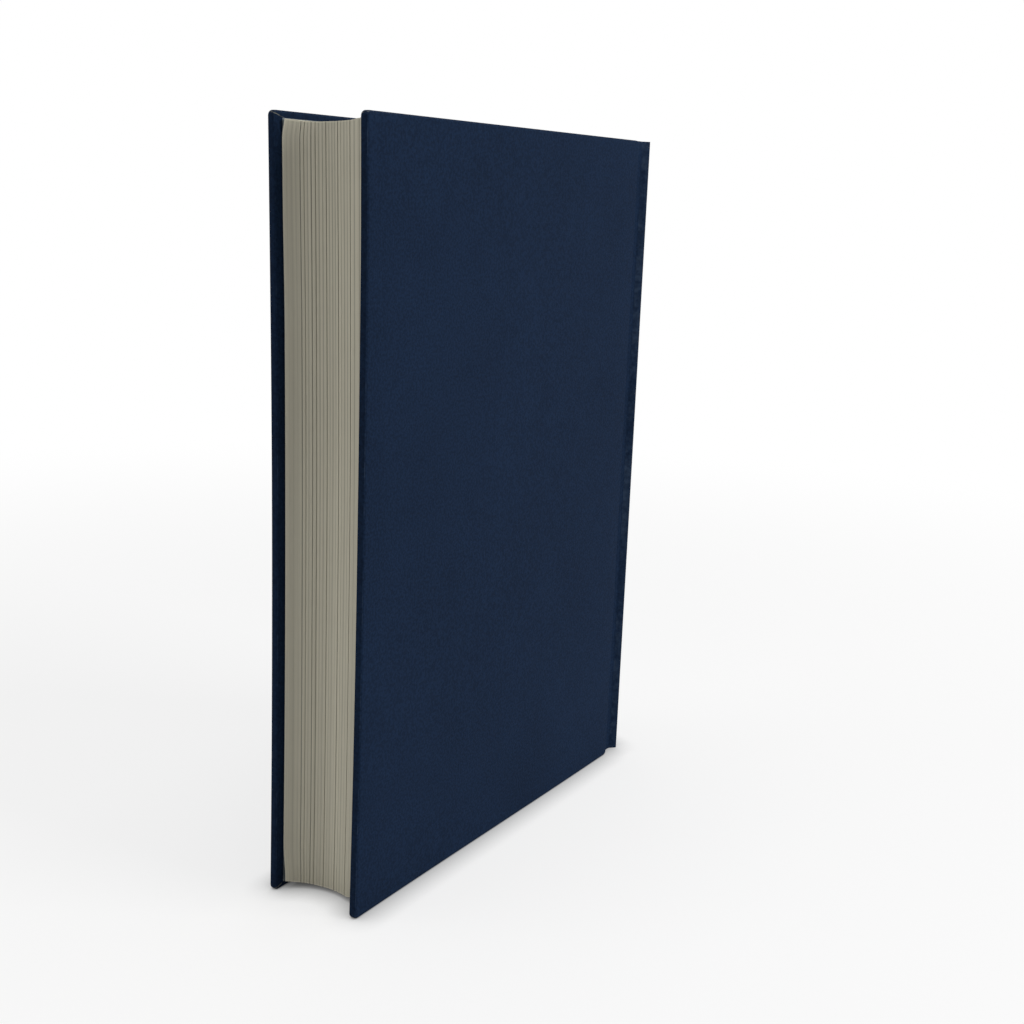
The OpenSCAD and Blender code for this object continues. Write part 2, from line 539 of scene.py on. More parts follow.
def pull_up(height: float) -> None:
    """Pulls all of the open piece straight up."""
    select_all()
    bpy.ops.mesh.extrude_region_move(TRANSFORM_OT_translate={"value": (0, 0, height)})


def cut_at(piece: bpy.types.Object, axis: Axis, places: Sequence[float]) -> None:
    """Adds an edge loop all the way round a piece at each place along one axis.

    Args:
        piece: The piece to cut.
        axis: Axis that the places are measured along.
        places: Where the loops go.
    """
    direction = [0.0, 0.0, 0.0]
    direction[axis.value] = 1.0
    with editing(piece):
        for place in places:
            select_all()
            spot = [place * share for share in direction]
            bpy.ops.mesh.bisect(plane_co=spot, plane_no=direction)


def even_places(low: float, high: float, count: int) -> list[float]:
    """Places that divide a length into count equal parts, without its two ends."""
    return [low + (high - low) * step / count for step in range(1, count)]


def reshape(piece: bpy.types.Object, shape: Shape) -> None:
    """Moves every corner of a piece to where a function puts it."""
    for corner in piece.data.vertices:
        corner.co = shape(corner.co)
    piece.data.update()


def apply_modifier(piece: bpy.types.Object, kind: str, **settings: object) -> None:
    """Adds one modifier to a piece and applies it.

    Args:
        piece: The piece.
        kind: The modifier's type.
        settings: Values of the modifier.
    """
    take(piece)
    bpy.ops.object.modifier_add(type=kind)
    modifier = piece.modifiers[-1]
    for name, value in settings.items():
        setattr(modifier, name, value)
    bpy.ops.object.modifier_apply(modifier=modifier.name)


def combine(piece: bpy.types.Object, tool: bpy.types.Object, operation: str) -> None:
    """Adds a tool's form to a piece or cuts it away, and deletes the tool.

    Args:
        piece: The piece that stays.
        tool: The other form.
        operation: UNION or DIFFERENCE.
    """
    apply_modifier(piece, "BOOLEAN", operation=operation, object=tool, solver="EXACT")
    bpy.data.meshes.remove(tool.data)


def mirror(piece: bpy.types.Object, signs: Point, about: Point = (0, 0, 0)) -> None:
    """Mirrors a piece about a point, along each axis whose sign is -1."""
    with editing(piece):
        select_all()
        bpy.ops.transform.resize(value=signs, center_override=about)
        point_outwards()


def mirror_to(piece: bpy.types.Object, side: Side) -> None:
    """Turns a piece made for the back cover into one for the given side."""
    if side is Side.FRONT:
        mirror(piece, (-1, 1, 1))


def sweep_section(piece: bpy.types.Object, middle: Vector, lean: float, steps: int) -> None:
    """Sweeps a drawn section round the book's back and closes both ends.

    Args:
        piece: The section, where the sweep starts.
        middle: Middle of the round in plan.
        lean: Half of the round's angle.
        steps: Number of steps in the round.
    """
    with editing(piece, Pick.EDGES):
        merge_corners(MERGE)
        select_all()
        bpy.ops.mesh.spin(steps=steps, angle=-2 * lean, center=middle, axis=UP)
        for sign in (1, -1):
            across = Vector((sign * math.sin(lean), math.cos(lean), 0)).cross(Vector(UP))
            bpy.ops.mesh.select_all(action="DESELECT")
            pick_edges(piece, lambda a, b: max(abs((end - middle).dot(across)) for end in (a, b)) < MERGE)
            bpy.ops.mesh.edge_face_add()
        point_outwards()


def dress(piece: bpy.types.Object, finish: bpy.types.Material, node: str) -> None:
    """Gives a piece its material and hides the node of the frame that it replaces.

    Args:
        piece: The piece.
        finish: Its material.
        node: The node that it replaces.
    """
    piece.data.materials.append(finish)
    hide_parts(node)


def smooth(piece: bpy.types.Object, angle: float = 35) -> None:
    """Shades a piece smooth, apart from edges sharper than an angle in degrees."""
    take(piece)
    bpy.ops.object.shade_smooth_by_angle(angle=math.radians(angle))


def paint(piece: bpy.types.Object, name: str, values: Sequence[float]) -> None:
    """Stores one number for each corner of a piece, for its material to read."""
    layer = piece.data.attributes.new(name, "FLOAT", "POINT")
    layer.data.foreach_set("value", values)


def lay_threads(piece: bpy.types.Object) -> None:
    """Gives a piece a map in real metres, each face from its own flattest direction."""
    with editing(piece, Pick.FACES):
        select_all()
        bpy.ops.uv.cube_project(cube_size=1.0)


def paint_edges(piece: bpy.types.Object) -> None:
    """Marks the rounded edges and corners of a piece, where its finish wears first.

    Args:
        piece: The piece.
    """
    marks = []
    for corner in piece.data.vertices:
        flatness = max(abs(part) for part in corner.normal)
        marks.append(ease((0.985 - flatness) / 0.2))
    paint(piece, "edge", marks)


class Nodes:
    """Short way to add nodes to one tree and to link them."""

    def __init__(self, tree: bpy.types.NodeTree) -> None:
        """Keeps the tree that the nodes go into."""
        self.tree = tree

    def feed(self, socket: bpy.types.NodeSocket, value: object) -> None:
        """Links a value's socket to an input, or sets the input to a plain value."""
        if isinstance(value, bpy.types.NodeSocket):
            self.tree.links.new(value, socket)
        elif socket.type == "RGBA":
            socket.default_value = (*value, 1.0)
        else:
            socket.default_value = value

    def add(self, kind: str, inputs: dict | None = None, **settings: object) -> bpy.types.Node:
        """Adds one node.

        Args:
            kind: The node's type.
            inputs: Values or sockets for its inputs, by name or place.
            settings: The node's own settings.

        Returns:
            The node.
        """
        node = self.tree.nodes.new(kind)
        for name, value in settings.items():
            setattr(node, name, value)
        for name, value in (inputs or {}).items():
            self.feed(node.inputs[name], value)
        return node

    def math(self, operation: str, *values: object) -> bpy.types.NodeSocket:
        """Adds one sum on up to three values and gives its result."""
        node = self.add("ShaderNodeMath", dict(enumerate(values)), operation=operation)
        return node.outputs[0]

    def plus(self, first: object, second: object) -> bpy.types.NodeSocket:
        """Adds two numbers."""
        return self.math("ADD", first, second)

    def minus(self, first: object, second: object) -> bpy.types.NodeSocket:
        """Takes the second number from the first."""
        return self.math("SUBTRACT", first, second)

    def times(self, *factors: object) -> bpy.types.NodeSocket:
        """Multiplies numbers."""
        return reduce(partial(self.math, "MULTIPLY"), factors)

    def scaled(self, value: object, factor: object, base: object) -> bpy.types.NodeSocket:
        """Adds a value times a factor to a base."""
        return self.math("MULTIPLY_ADD", value, factor, base)

    def varied(self, base: object, cloud: object, amount: float) -> bpy.types.NodeSocket:
        """Adds noise of 0 to 1 to a base, about its middle."""
        return self.scaled(self.minus(cloud, 0.5), amount, base)

    def ramp(self, value: object, low: float, high: float) -> bpy.types.NodeSocket:
        """Smooth step of a value from 0 at low to 1 at high."""
        node = self.add("ShaderNodeMapRange", {"Value": value, "From Min": low, "From Max": high},
                        interpolation_type="SMOOTHSTEP")
        return node.outputs["Result"]

    def blend(self, share: object, first: object, second: object) -> bpy.types.NodeSocket:
        """Mixes two colours: the first at a share of 0, the second at 1.

        Args:
            share: Share of the second colour.
            first: The first colour.
            second: The second colour.

        Returns:
            The mixed colour.
        """
        node = self.add("ShaderNodeMix", data_type="RGBA")
        self.feed(node.inputs[0], share)
        self.feed(node.inputs[6], first)
        self.feed(node.inputs[7], second)
        return node.outputs[2]

    def darken(self, colour: object, level: object) -> bpy.types.NodeSocket:
        """Multiplies a colour by a level, which may be above 1."""
        node = self.add("ShaderNodeVectorMath", {0: colour, 1: self.grey(level)}, operation="MULTIPLY")
        return node.outputs[0]

    def grey(self, level: object) -> bpy.types.NodeSocket:
        """The same number in all three channels."""
        node = self.add("ShaderNodeCombineXYZ", {"X": level, "Y": level, "Z": level})
        return node.outputs[0]

    def place(self) -> bpy.types.NodeSocket:
        """Place on the piece, in metres."""
        return self.add("ShaderNodeTexCoord").outputs["Object"]

    def mark(self, name: str) -> bpy.types.NodeSocket:
        """Number that the piece stores at each corner."""
        return self.add("ShaderNodeAttribute", attribute_name=name).outputs["Fac"]

    def stretch(self, vector: object, scale: Point) -> bpy.types.NodeSocket:
        """Scales a place along each axis."""
        return self.add("ShaderNodeMapping", {"Vector": vector, "Scale": scale}).outputs[0]

    def speckle(self, vector: object, scale: float, detail: float = 2.0) -> bpy.types.NodeSocket:
        """Cloudy noise from 0 to 1."""
        node = self.add("ShaderNodeTexNoise", {"Vector": vector, "Scale": scale, "Detail": detail})
        return node.outputs["Fac"]

    def show(self, kind: str, shader: bpy.types.NodeSocket) -> None:
        """Adds the tree's output, and links a shader to it."""
        self.feed(self.add(kind).inputs["Surface"], shader)

    def effect(self, group: bpy.types.NodeTree, inputs: dict) -> bpy.types.Node:
        """Adds a shared effect with its own values.

        Args:
            group: The effect's node group.
            inputs: Values or sockets for its inputs, by name.

        Returns:
            The node.
        """
        node = self.add("ShaderNodeGroup", node_tree=group)
        for name, value in inputs.items():
            self.feed(node.inputs[name], value)
        return node


def new_effect(name: str, inputs: dict[str, str], outputs: Sequence[str]) -> tuple[Nodes, dict, object]:
    """Starts a shared effect, a node group with named inputs and outputs.

    Args:
        name: Name of the group.
        inputs: Type of socket for each input's name.
        outputs: Names of the outputs, all of them plain numbers.

    Returns:
        The group's nodes, its inputs by name, and the node that its results feed.
    """
    group = bpy.data.node_groups.new(name, "ShaderNodeTree")
    for label, kind in inputs.items():
        group.interface.new_socket(name=label, in_out="INPUT", socket_type=kind)
    for label in outputs:
        group.interface.new_socket(name=label, in_out="OUTPUT", socket_type="NodeSocketFloat")
    nodes = Nodes(group)
    source = nodes.add("NodeGroupInput")
    return nodes, {label: source.outputs[label] for label in inputs}, nodes.add("NodeGroupOutput")


def make_weave() -> bpy.types.NodeTree:
    """Makes the shared plain weave: threads over and under each other, with thick and thin places.

    Returns:
        A group that takes a map in metres and the pitch, and puts out the threads' height and shade.
    """
    inputs = {"Map": "NodeSocketVector", "Pitch": "NodeSocketFloat", "Slub": "NodeSocketFloat"}
    nodes, given, result = new_effect("plain weave", inputs, ("Height", "Shade"))
    apart = nodes.add("ShaderNodeSeparateXYZ", {0: given["Map"]})
    turns = [nodes.math("DIVIDE", nodes.times(apart.outputs[i], math.pi), given["Pitch"])
             for i in (0, 1)]
    warp, weft = (nodes.math("SINE", turn) for turn in turns)
    over = nodes.ramp(nodes.times(warp, weft), -0.25, 0.25)
    warp_round, weft_round = nodes.math("ABSOLUTE", warp), nodes.math("ABSOLUTE", weft)
    lifted = nodes.times(warp_round, over)
    sunk = nodes.times(weft_round, nodes.minus(1.0, over))
    threads = nodes.plus(lifted, sunk)
    long_slub = nodes.speckle(nodes.stretch(given["Map"], (2400, 260, 1)), 1.0, 1.0)
    cross_slub = nodes.speckle(nodes.stretch(given["Map"], (260, 2400, 1)), 1.0, 1.0)
    slub = nodes.minus(nodes.plus(long_slub, cross_slub), 1.0)
    thick = nodes.times(slub, given["Slub"])
    nodes.feed(result.inputs["Height"], nodes.plus(threads, thick))
    nodes.feed(result.inputs["Shade"], nodes.plus(thick, nodes.times(threads, 0.35)))
    return nodes.tree


def make_mottle() -> bpy.types.NodeTree:
    """Makes the shared mottle: clouds at three sizes, as dye, handling and age leave them.

    Returns:
        A group that takes a place and a size, and puts out a level about 0.
    """
    inputs = {"Place": "NodeSocketVector", "Size": "NodeSocketFloat"}
    nodes, given, result = new_effect("mottle", inputs, ("Level",))
    level = 0.0
    for share, scale, detail in ((0.5, 1.0, 2.0), (0.3, 4.5, 3.0), (0.2, 19.0, 2.0)):
        node = nodes.add("ShaderNodeTexNoise", {"Vector": given["Place"], "Detail": detail})
        nodes.feed(node.inputs["Scale"], nodes.math("DIVIDE", scale, given["Size"]))
        part = nodes.times(nodes.minus(node.outputs["Fac"], 0.5), 2 * share)
        level = nodes.plus(level, part)
    nodes.feed(result.inputs["Level"], level)
    return nodes.tree


def make_wear() -> bpy.types.NodeTree:
    """Makes the shared wear: rubbed patches that start at the marked edges.

    Returns:
        A group that takes an edge mark, a place and an amount, and puts out a mask.
    """
    inputs = {"Edge": "NodeSocketFloat", "Place": "NodeSocketVector", "Amount": "NodeSocketFloat"}
    nodes, given, result = new_effect("rubbed edges", inputs, ("Mask",))
    patches = nodes.speckle(given["Place"], 420.0, 4.0)
    broad = nodes.speckle(given["Place"], 45.0, 2.0)
    rubbed = nodes.plus(nodes.times(patches, 0.6), nodes.times(broad, 0.5))
    reach = nodes.plus(nodes.times(given["Edge"], given["Amount"]), rubbed)
    nodes.feed(result.inputs["Mask"], nodes.times(nodes.ramp(reach, 0.85, 1.25), given["Edge"]))
    return nodes.tree


@dataclass(frozen=True)
class Effects:
    """The shader effects that several finishes share."""

    weave: bpy.types.NodeTree = field(default_factory=make_weave)
    mottle: bpy.types.NodeTree = field(default_factory=make_mottle)
    wear: bpy.types.NodeTree = field(default_factory=make_wear)

    def mottled(self, nodes: Nodes, place: object, size: float) -> bpy.types.NodeSocket:
        """Level of the mottle about 0, with clouds of a size in metres."""
        return nodes.effect(self.mottle, {"Place": place, "Size": size}).outputs["Level"]

    def woven(self, nodes: Nodes, pitch: float, slub: float) -> tuple[object, object]:
        """Lays the shared weave on a piece's own map.

        Args:
            nodes: The material's nodes.
            pitch: From one thread to the next, in metres.
            slub: How uneven the threads are.

        Returns:
            The weave's height and its shade.
        """
        threads = nodes.add("ShaderNodeTexCoord").outputs["UV"]
        weave = nodes.effect(self.weave, {"Map": threads, "Pitch": pitch, "Slub": slub})
        return weave.outputs["Height"], weave.outputs["Shade"]


def emptied(owner: bpy.types.Material | bpy.types.World) -> Nodes:
    """Turns on the nodes of a material or world, and clears them.

    Args:
        owner: The material or world.

    Returns:
        Its nodes.
    """
    owner.use_nodes = True
    owner.node_tree.nodes.clear()
    return Nodes(owner.node_tree)


@dataclass(frozen=True)
class Look:
    """What a finish feeds its shader: a colour, a height of 0 to 1, and how deep that is in metres."""

    colour: bpy.types.NodeSocket
    height: bpy.types.NodeSocket
    depth: float
    roughness: bpy.types.NodeSocket | float


class Finish:
    """A material with one Principled shader, made from its own values and the shared effects."""

    name: str
    specular: ClassVar[float]
    sheen: float = 0.0

    def look(self, nodes: Nodes, effects: Effects) -> Look:
        """Adds the nodes that colour and roughen the surface.

        Args:
            nodes: The material's nodes.
            effects: The shared effects.

        Returns:
            What the shader is fed.
        """
        raise NotImplementedError

    def make(self, effects: Effects) -> bpy.types.Material:
        """Makes the material.

        Args:
            effects: The shared effects.

        Returns:
            The material.
        """
        material = bpy.data.materials.new(self.name)
        nodes = emptied(material)
        look = self.look(nodes, effects)
        bump = nodes.add("ShaderNodeBump", {"Height": look.height, "Strength": 1.0, "Distance": look.depth})
        shader = nodes.add("ShaderNodeBsdfPrincipled", {
            "Base Color": look.colour, "Roughness": look.roughness, "Specular IOR Level": self.specular,
            "Sheen Weight": self.sheen, "Sheen Roughness": 0.4, "Normal": bump.outputs["Normal"]})
        nodes.show("ShaderNodeOutputMaterial", shader.outputs["BSDF"])
        return material


@dataclass(frozen=True)
class BookCloth(Finish):
    """Dark blue bookcloth with a fine filled weave, rubbed at its edges."""

    sizes: BookSizes
    name: str = "book cloth"
    navy: Colour = linear(21, 36, 58)
    rubbed: Colour = linear(62, 78, 100)
    seam_thread: Colour = linear(128, 128, 118)
    pitch: float = 0.42 * MM
    specular: ClassVar[float] = 0.05

    def look(self, nodes: Nodes, effects: Effects) -> Look:
        """Weaves and mottles the navy, rubs its edges and draws the seams at the corners.

        Args:
            nodes: The material's nodes.
            effects: The shared effects.

        Returns:
            What the shader is fed.
        """
        place = nodes.place()
        threads, tone = effects.woven(nodes, self.pitch, slub=0.9)
        grain = nodes.speckle(place, 1250.0, 2.0)
        shade = nodes.scaled(tone, 0.20, 0.96)
        shade = nodes.scaled(effects.mottled(nodes, place, 0.055), 0.34, shade)
        shade = nodes.varied(shade, nodes.ramp(grain, 0.36, 0.64), 0.36)
        wear = nodes.effect(effects.wear, {"Edge": nodes.mark("edge"), "Place": place, "Amount": 0.42})
        seam = self.corner_seam(nodes, place)
        colour = nodes.darken(self.navy, shade)
        colour = nodes.blend(nodes.times(wear.outputs["Mask"], 0.55), colour, self.rubbed)
        colour = nodes.blend(nodes.times(seam, 0.75), colour, self.seam_thread)
        height = nodes.plus(nodes.scaled(grain, 1.6, threads), nodes.times(seam, -1.5))
        return Look(colour, height, 0.035 * MM, nodes.scaled(tone, 0.10, 0.80))

    def corner_seam(self, nodes: Nodes, place: object) -> bpy.types.NodeSocket:
        """Finds the seam where the turn-ins meet at the fore-edge corners.

        Args:
            nodes: The material's nodes.
            place: Place on the piece.

        Returns:
            A mask of the seam's worn line, broken up like frayed thread.
        """
        apart = nodes.add("ShaderNodeSeparateXYZ", {0: place})
        out, half = nodes.mark("out"), self.sizes.height / 2
        run = nodes.plus(out, nodes.minus(apart.outputs["Y"], self.sizes.cover[0].y))
        below = nodes.minus(half, nodes.math("ABSOLUTE", nodes.minus(apart.outputs["Z"], half)))
        drift = nodes.times(nodes.minus(nodes.speckle(place, 500.0, 2.0), 0.5), 0.5 * MM)
        fall = nodes.plus(nodes.scaled(run, 0.27, 0.1 * MM), drift)
        gap = nodes.math("ABSOLUTE", nodes.minus(below, fall))
        line = nodes.minus(1.0, nodes.ramp(gap, 0.05 * MM, 0.2 * MM))
        near = nodes.minus(1.0, nodes.ramp(run, self.sizes.turn_in - MM, self.sizes.turn_in))
        started = nodes.ramp(run, 0.3 * MM, 0.9 * MM)
        inside = nodes.ramp(out, 0.15 * MM, 0.4 * MM)
        frayed = nodes.ramp(nodes.speckle(place, 900.0, 3.0), 0.36, 0.56)
        return nodes.times(line, near, inside, started, frayed)


@dataclass(frozen=True)
class PageEdges(Finish):
    """Cut edges of many cream pages, with shade painted into the gaps and furrows between the sewn sections
    and a painted highlight along the rims.
    """

    name: str = "page edges"
    cream: Colour = linear(213, 208, 189)
    # Colour of the shade painted into the gaps between sections.
    gap: Colour = linear(90, 86, 74)
    tinted: Colour = linear(96, 108, 118)
    # Colour of the highlight painted along the rims of the fore-edge face.
    rim: Colour = linear(232, 226, 206)
    specular: ClassVar[float] = 0.15

    def look(self, nodes: Nodes, effects: Effects) -> Look:
        """Streaks the cream along the leaves, paints shade into the gaps and furrows, paints a highlight
        along the rims, and colours a few tinted leaves.

        Args:
            nodes: The material's nodes.
            effects: The shared effects.

        Returns:
            What the shader is fed.
        """
        place = nodes.place()
        apart = nodes.add("ShaderNodeSeparateXYZ", {0: place}).outputs
        leaf = nodes.add("ShaderNodeCombineXYZ", {"X": nodes.mark("leaf"), "Y": apart["Y"], "Z": apart["Z"]})
        leaves, quires = (nodes.speckle(nodes.stretch(leaf.outputs[0], scale), 1.0, 2.0)
                          for scale in ((9000, 12, 6), (1300, 6, 3)))
        shade = nodes.varied(nodes.varied(1.0, leaves, 0.42), quires, 0.34)
        shade = nodes.scaled(effects.mottled(nodes, place, 0.06), 0.07, shade)
        # Painted shade in the furrows and towards the front cover, less a painted highlight beside the gaps.
        shade = nodes.scaled(nodes.mark("fold"), -0.48, shade)
        colour = nodes.darken(self.cream, shade)
        # Mixes in the painted highlight on the rims, the painted shade in the gaps and the tinted leaves.
        for mark, mixed_in in (("rim", self.rim), ("gap", self.gap), ("tint", self.tinted)):
            colour = nodes.blend(nodes.mark(mark), colour, mixed_in)
        return Look(colour, nodes.plus(leaves, quires), 0.03 * MM, 0.9)


@dataclass(frozen=True)
class Endpaper(Finish):
    """Grey-blue endpaper with short fibres and faint laid lines."""

    name: str = "endpaper"
    blue_grey: Colour = linear(132, 141, 146)
    fibre: Colour = linear(164, 171, 174)
    specular: ClassVar[float] = 0.18

    def look(self, nodes: Nodes, effects: Effects) -> Look:
        """Lays faint lines across the grey-blue, and strews fibres on it.

        Args:
            nodes: The material's nodes.
            effects: The shared effects.

        Returns:
            What the shader is fed.
        """
        place = nodes.place()
        laid = nodes.speckle(nodes.stretch(place, (300, 300, 1400)), 1.0, 2.0)
        fibres = nodes.speckle(nodes.stretch(place, (700, 1500, 420)), 1.0, 4.0)
        shade = nodes.scaled(effects.mottled(nodes, place, 0.03), 0.10, 1.0)
        colour = nodes.darken(self.blue_grey, nodes.varied(shade, laid, 0.10))
        colour = nodes.blend(nodes.times(nodes.ramp(fibres, 0.60, 0.72), 0.5), colour, self.fibre)
        return Look(colour, nodes.plus(fibres, laid), 0.02 * MM, 0.88)


@dataclass(frozen=True)
class Woven(Finish):
    """Undyed woven goods: the open gauze of the mull, or the silk of the bands."""

    name: str
    thread: Colour
    shadow: Colour
    pitch: float
    depth: float
    sheen: float = 0.1
    specular: ClassVar[float] = 0.25

    def look(self, nodes: Nodes, effects: Effects) -> Look:
        """Shows the threads above their shadow.

        Args:
            nodes: The material's nodes.
            effects: The shared effects.

        Returns:
            What the shader is fed.
        """
        threads, _ = effects.woven(nodes, self.pitch, slub=0.5)
        colour = nodes.blend(nodes.ramp(threads, 0.2, 0.9), self.shadow, self.thread)
        shade = nodes.scaled(effects.mottled(nodes, nodes.place(), 0.02), 0.10, 1.0)
        return Look(nodes.darken(colour, shade), threads, self.depth, 0.8)


@dataclass(frozen=True)
class PulpBoard(Finish):
    """Pressed board or kraft paper: flecked pulp in layers."""

    name: str
    pulp: Colour
    fleck: Colour
    specular: ClassVar[float] = 0.12

    def look(self, nodes: Nodes, effects: Effects) -> Look:
        """Mottles the pulp and strews darker flecks in it.

        Args:
            nodes: The material's nodes.
            effects: The shared effects.

        Returns:
            What the shader is fed.
        """
        place = nodes.place()
        flecks = nodes.speckle(nodes.stretch(place, (900, 1300, 500)), 1.0, 3.0)
        shade = nodes.scaled(effects.mottled(nodes, place, 0.02), 0.16, 1.0)
        colour = nodes.blend(nodes.ramp(flecks, 0.62, 0.72), nodes.darken(self.pulp, shade), self.fleck)
        return Look(colour, flecks, 0.03 * MM, 0.92)


def covered_form(sizes: BookSizes, inset: float, name: str) -> bpy.types.Object:
    """Makes the covered board's round-edged form, drawn in by inset.

    Args:
        sizes: The book's places.
        inset: How far inside the cloth's outer face the form lies.
        name: Name of the form.

    Returns:
        The form.
    """
    low = Vector((sizes.cover[0].x, sizes.cover[0].y, 0)) + Vector((inset,) * 3)
    high = Vector((sizes.cover[1].x, sizes.board_end, sizes.height)) - Vector((inset,) * 3)
    form = new_block(name, low, high)
    with editing(form, Pick.EDGES):
        pick_along(form, Axis.X)
        bpy.ops.mesh.bevel(offset=sizes.corner_round - inset, segments=sizes.fillets, affect="EDGES")
        pick_edges(form, lambda a, b: abs(a.x - b.x) < TINY
                   and min(abs(a.x - low.x), abs(a.x - high.x)) < TINY)
        bpy.ops.mesh.bevel(offset=sizes.edge_round - inset, segments=sizes.fillets, affect="EDGES")
    return form


def slice_cover(piece: bpy.types.Object, sizes: BookSizes) -> None:
    """Cuts a cover's piece into slices that bend with the cover."""
    cut_at(piece, Axis.Z, even_places(0, sizes.height, 24))
    cut_at(piece, Axis.Y, even_places(sizes.cover[0].y, sizes.board_end, 14))


@dataclass
class CoverCloth:
    """Cloth of one cover: wrapped round the board, over the groove and round the spine's ridge."""

    sizes: BookSizes
    warp: Warp
    side: Side
    finish: bpy.types.Material

    def joint_strip(self) -> bpy.types.Object:
        """Draws the cloth in section from the board's edge over the ridge, and pulls it up.

        Returns:
            The strip, one cloth thick.
        """
        s = self.sizes
        hinge, turn = s.hinge, s.groove_turn
        wall = Vector((s.floor_x + s.groove_fillet, s.board_end - 0.01 * MM, 0))
        bend = Vector((s.floor_x + s.groove_bend, 0, 0))
        bend.y = hinge.y - ((hinge.x - bend.x) * math.cos(turn) + s.ridge + s.groove_bend) / math.sin(turn)
        pivot = Vector((hinge.x, hinge.y, 0))
        start = wall - Vector((0, s.corner_round, 0))
        inner = s.floor_x - s.cloth
        sweep = math.pi / 2 - s.spine_lean + turn
        stretches = [
            Straight(wall),
            Bend(wall + Vector((0, s.groove_fillet, 0)), -math.pi / 2, s.fillets),
            Straight((s.floor_x, bend.y, 0)),
            Bend(bend, -turn, s.fillets),
            Straight(around(pivot, s.ridge, -turn)),
            Bend(pivot, sweep, 28),
            Straight(around(pivot, s.ridge - s.cloth, sweep - turn)),
            Bend(pivot, -sweep, 28),
            Straight(around(bend, s.groove_bend + s.cloth, math.pi - turn)),
            Bend(bend, turn, s.fillets),
            Straight((inner, start.y, 0)),
            Straight(start),
        ]
        strip = draw_line("joint strip", start, stretches)
        raise_outline(strip, s.height)
        return strip

    def build(self) -> bpy.types.Object:
        """Builds the cloth over the joint and dresses it.

        Returns:
            The finished piece.
        """
        s = self.sizes
        cloth = covered_form(s, 0, f"{self.side.word}_case_cloth")
        combine(cloth, self.joint_strip(), "UNION")
        root = s.board_end - 1.5 * s.edge_round
        for low in (0, s.height - s.turn_in):
            fold = new_block("turn-in", (s.cover[0].x, root, low),
                             (s.floor_x - s.cloth / 2, s.cover[1].y, low + s.turn_in))
            combine(cloth, fold, "UNION")
        combine(cloth, covered_form(s, s.cloth, "board's room"), "DIFFERENCE")
        window = new_block("window", (s.cover[0].x - MM, s.cover[0].y + s.turn_in, s.turn_in),
                           (s.board[0].x - s.glue / 2, s.board_end + MM, s.height - s.turn_in))
        combine(cloth, window, "DIFFERENCE")
        slice_cover(cloth, s)
        with editing(cloth):
            merge_corners(2 * MERGE)
            point_outwards()
        mirror_to(cloth, self.side)
        paint(cloth, "out", [s.cover[1].x - abs(corner.co.x) for corner in cloth.data.vertices])
        reshape(cloth, self.warp.bend_cover(self.side))
        lay_threads(cloth)
        smooth(cloth)
        paint_edges(cloth)
        dress(cloth, self.finish, f"{self.side.word}_cover_cloth")
        end = Vector((self.side.value * s.hinge.x, s.hinge.y, s.height / 2))
        start = end - Vector((0, s.ridge * math.sin(s.groove_turn), 0))
        self.side.body
        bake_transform(cloth)
        return cloth


@dataclass
class Board:
    """The greyboard inside one cover, warped with it."""

    sizes: BookSizes
    warp: Warp
    side: Side
    finish: bpy.types.Material

    def build(self) -> bpy.types.Object:
        """Builds the board to the inside of its cloth.

        Returns:
            The finished piece, on its cover.
        """
        s = self.sizes
        board = covered_form(s, s.cloth + s.glue, f"{self.side.word}_greyboard")
        slice_cover(board, s)
        mirror_to(board, self.side)
        reshape(board, self.warp.bend_cover(self.side))
        dress(board, self.finish, f"{self.side.word}_board")
        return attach(board, self.side.body)


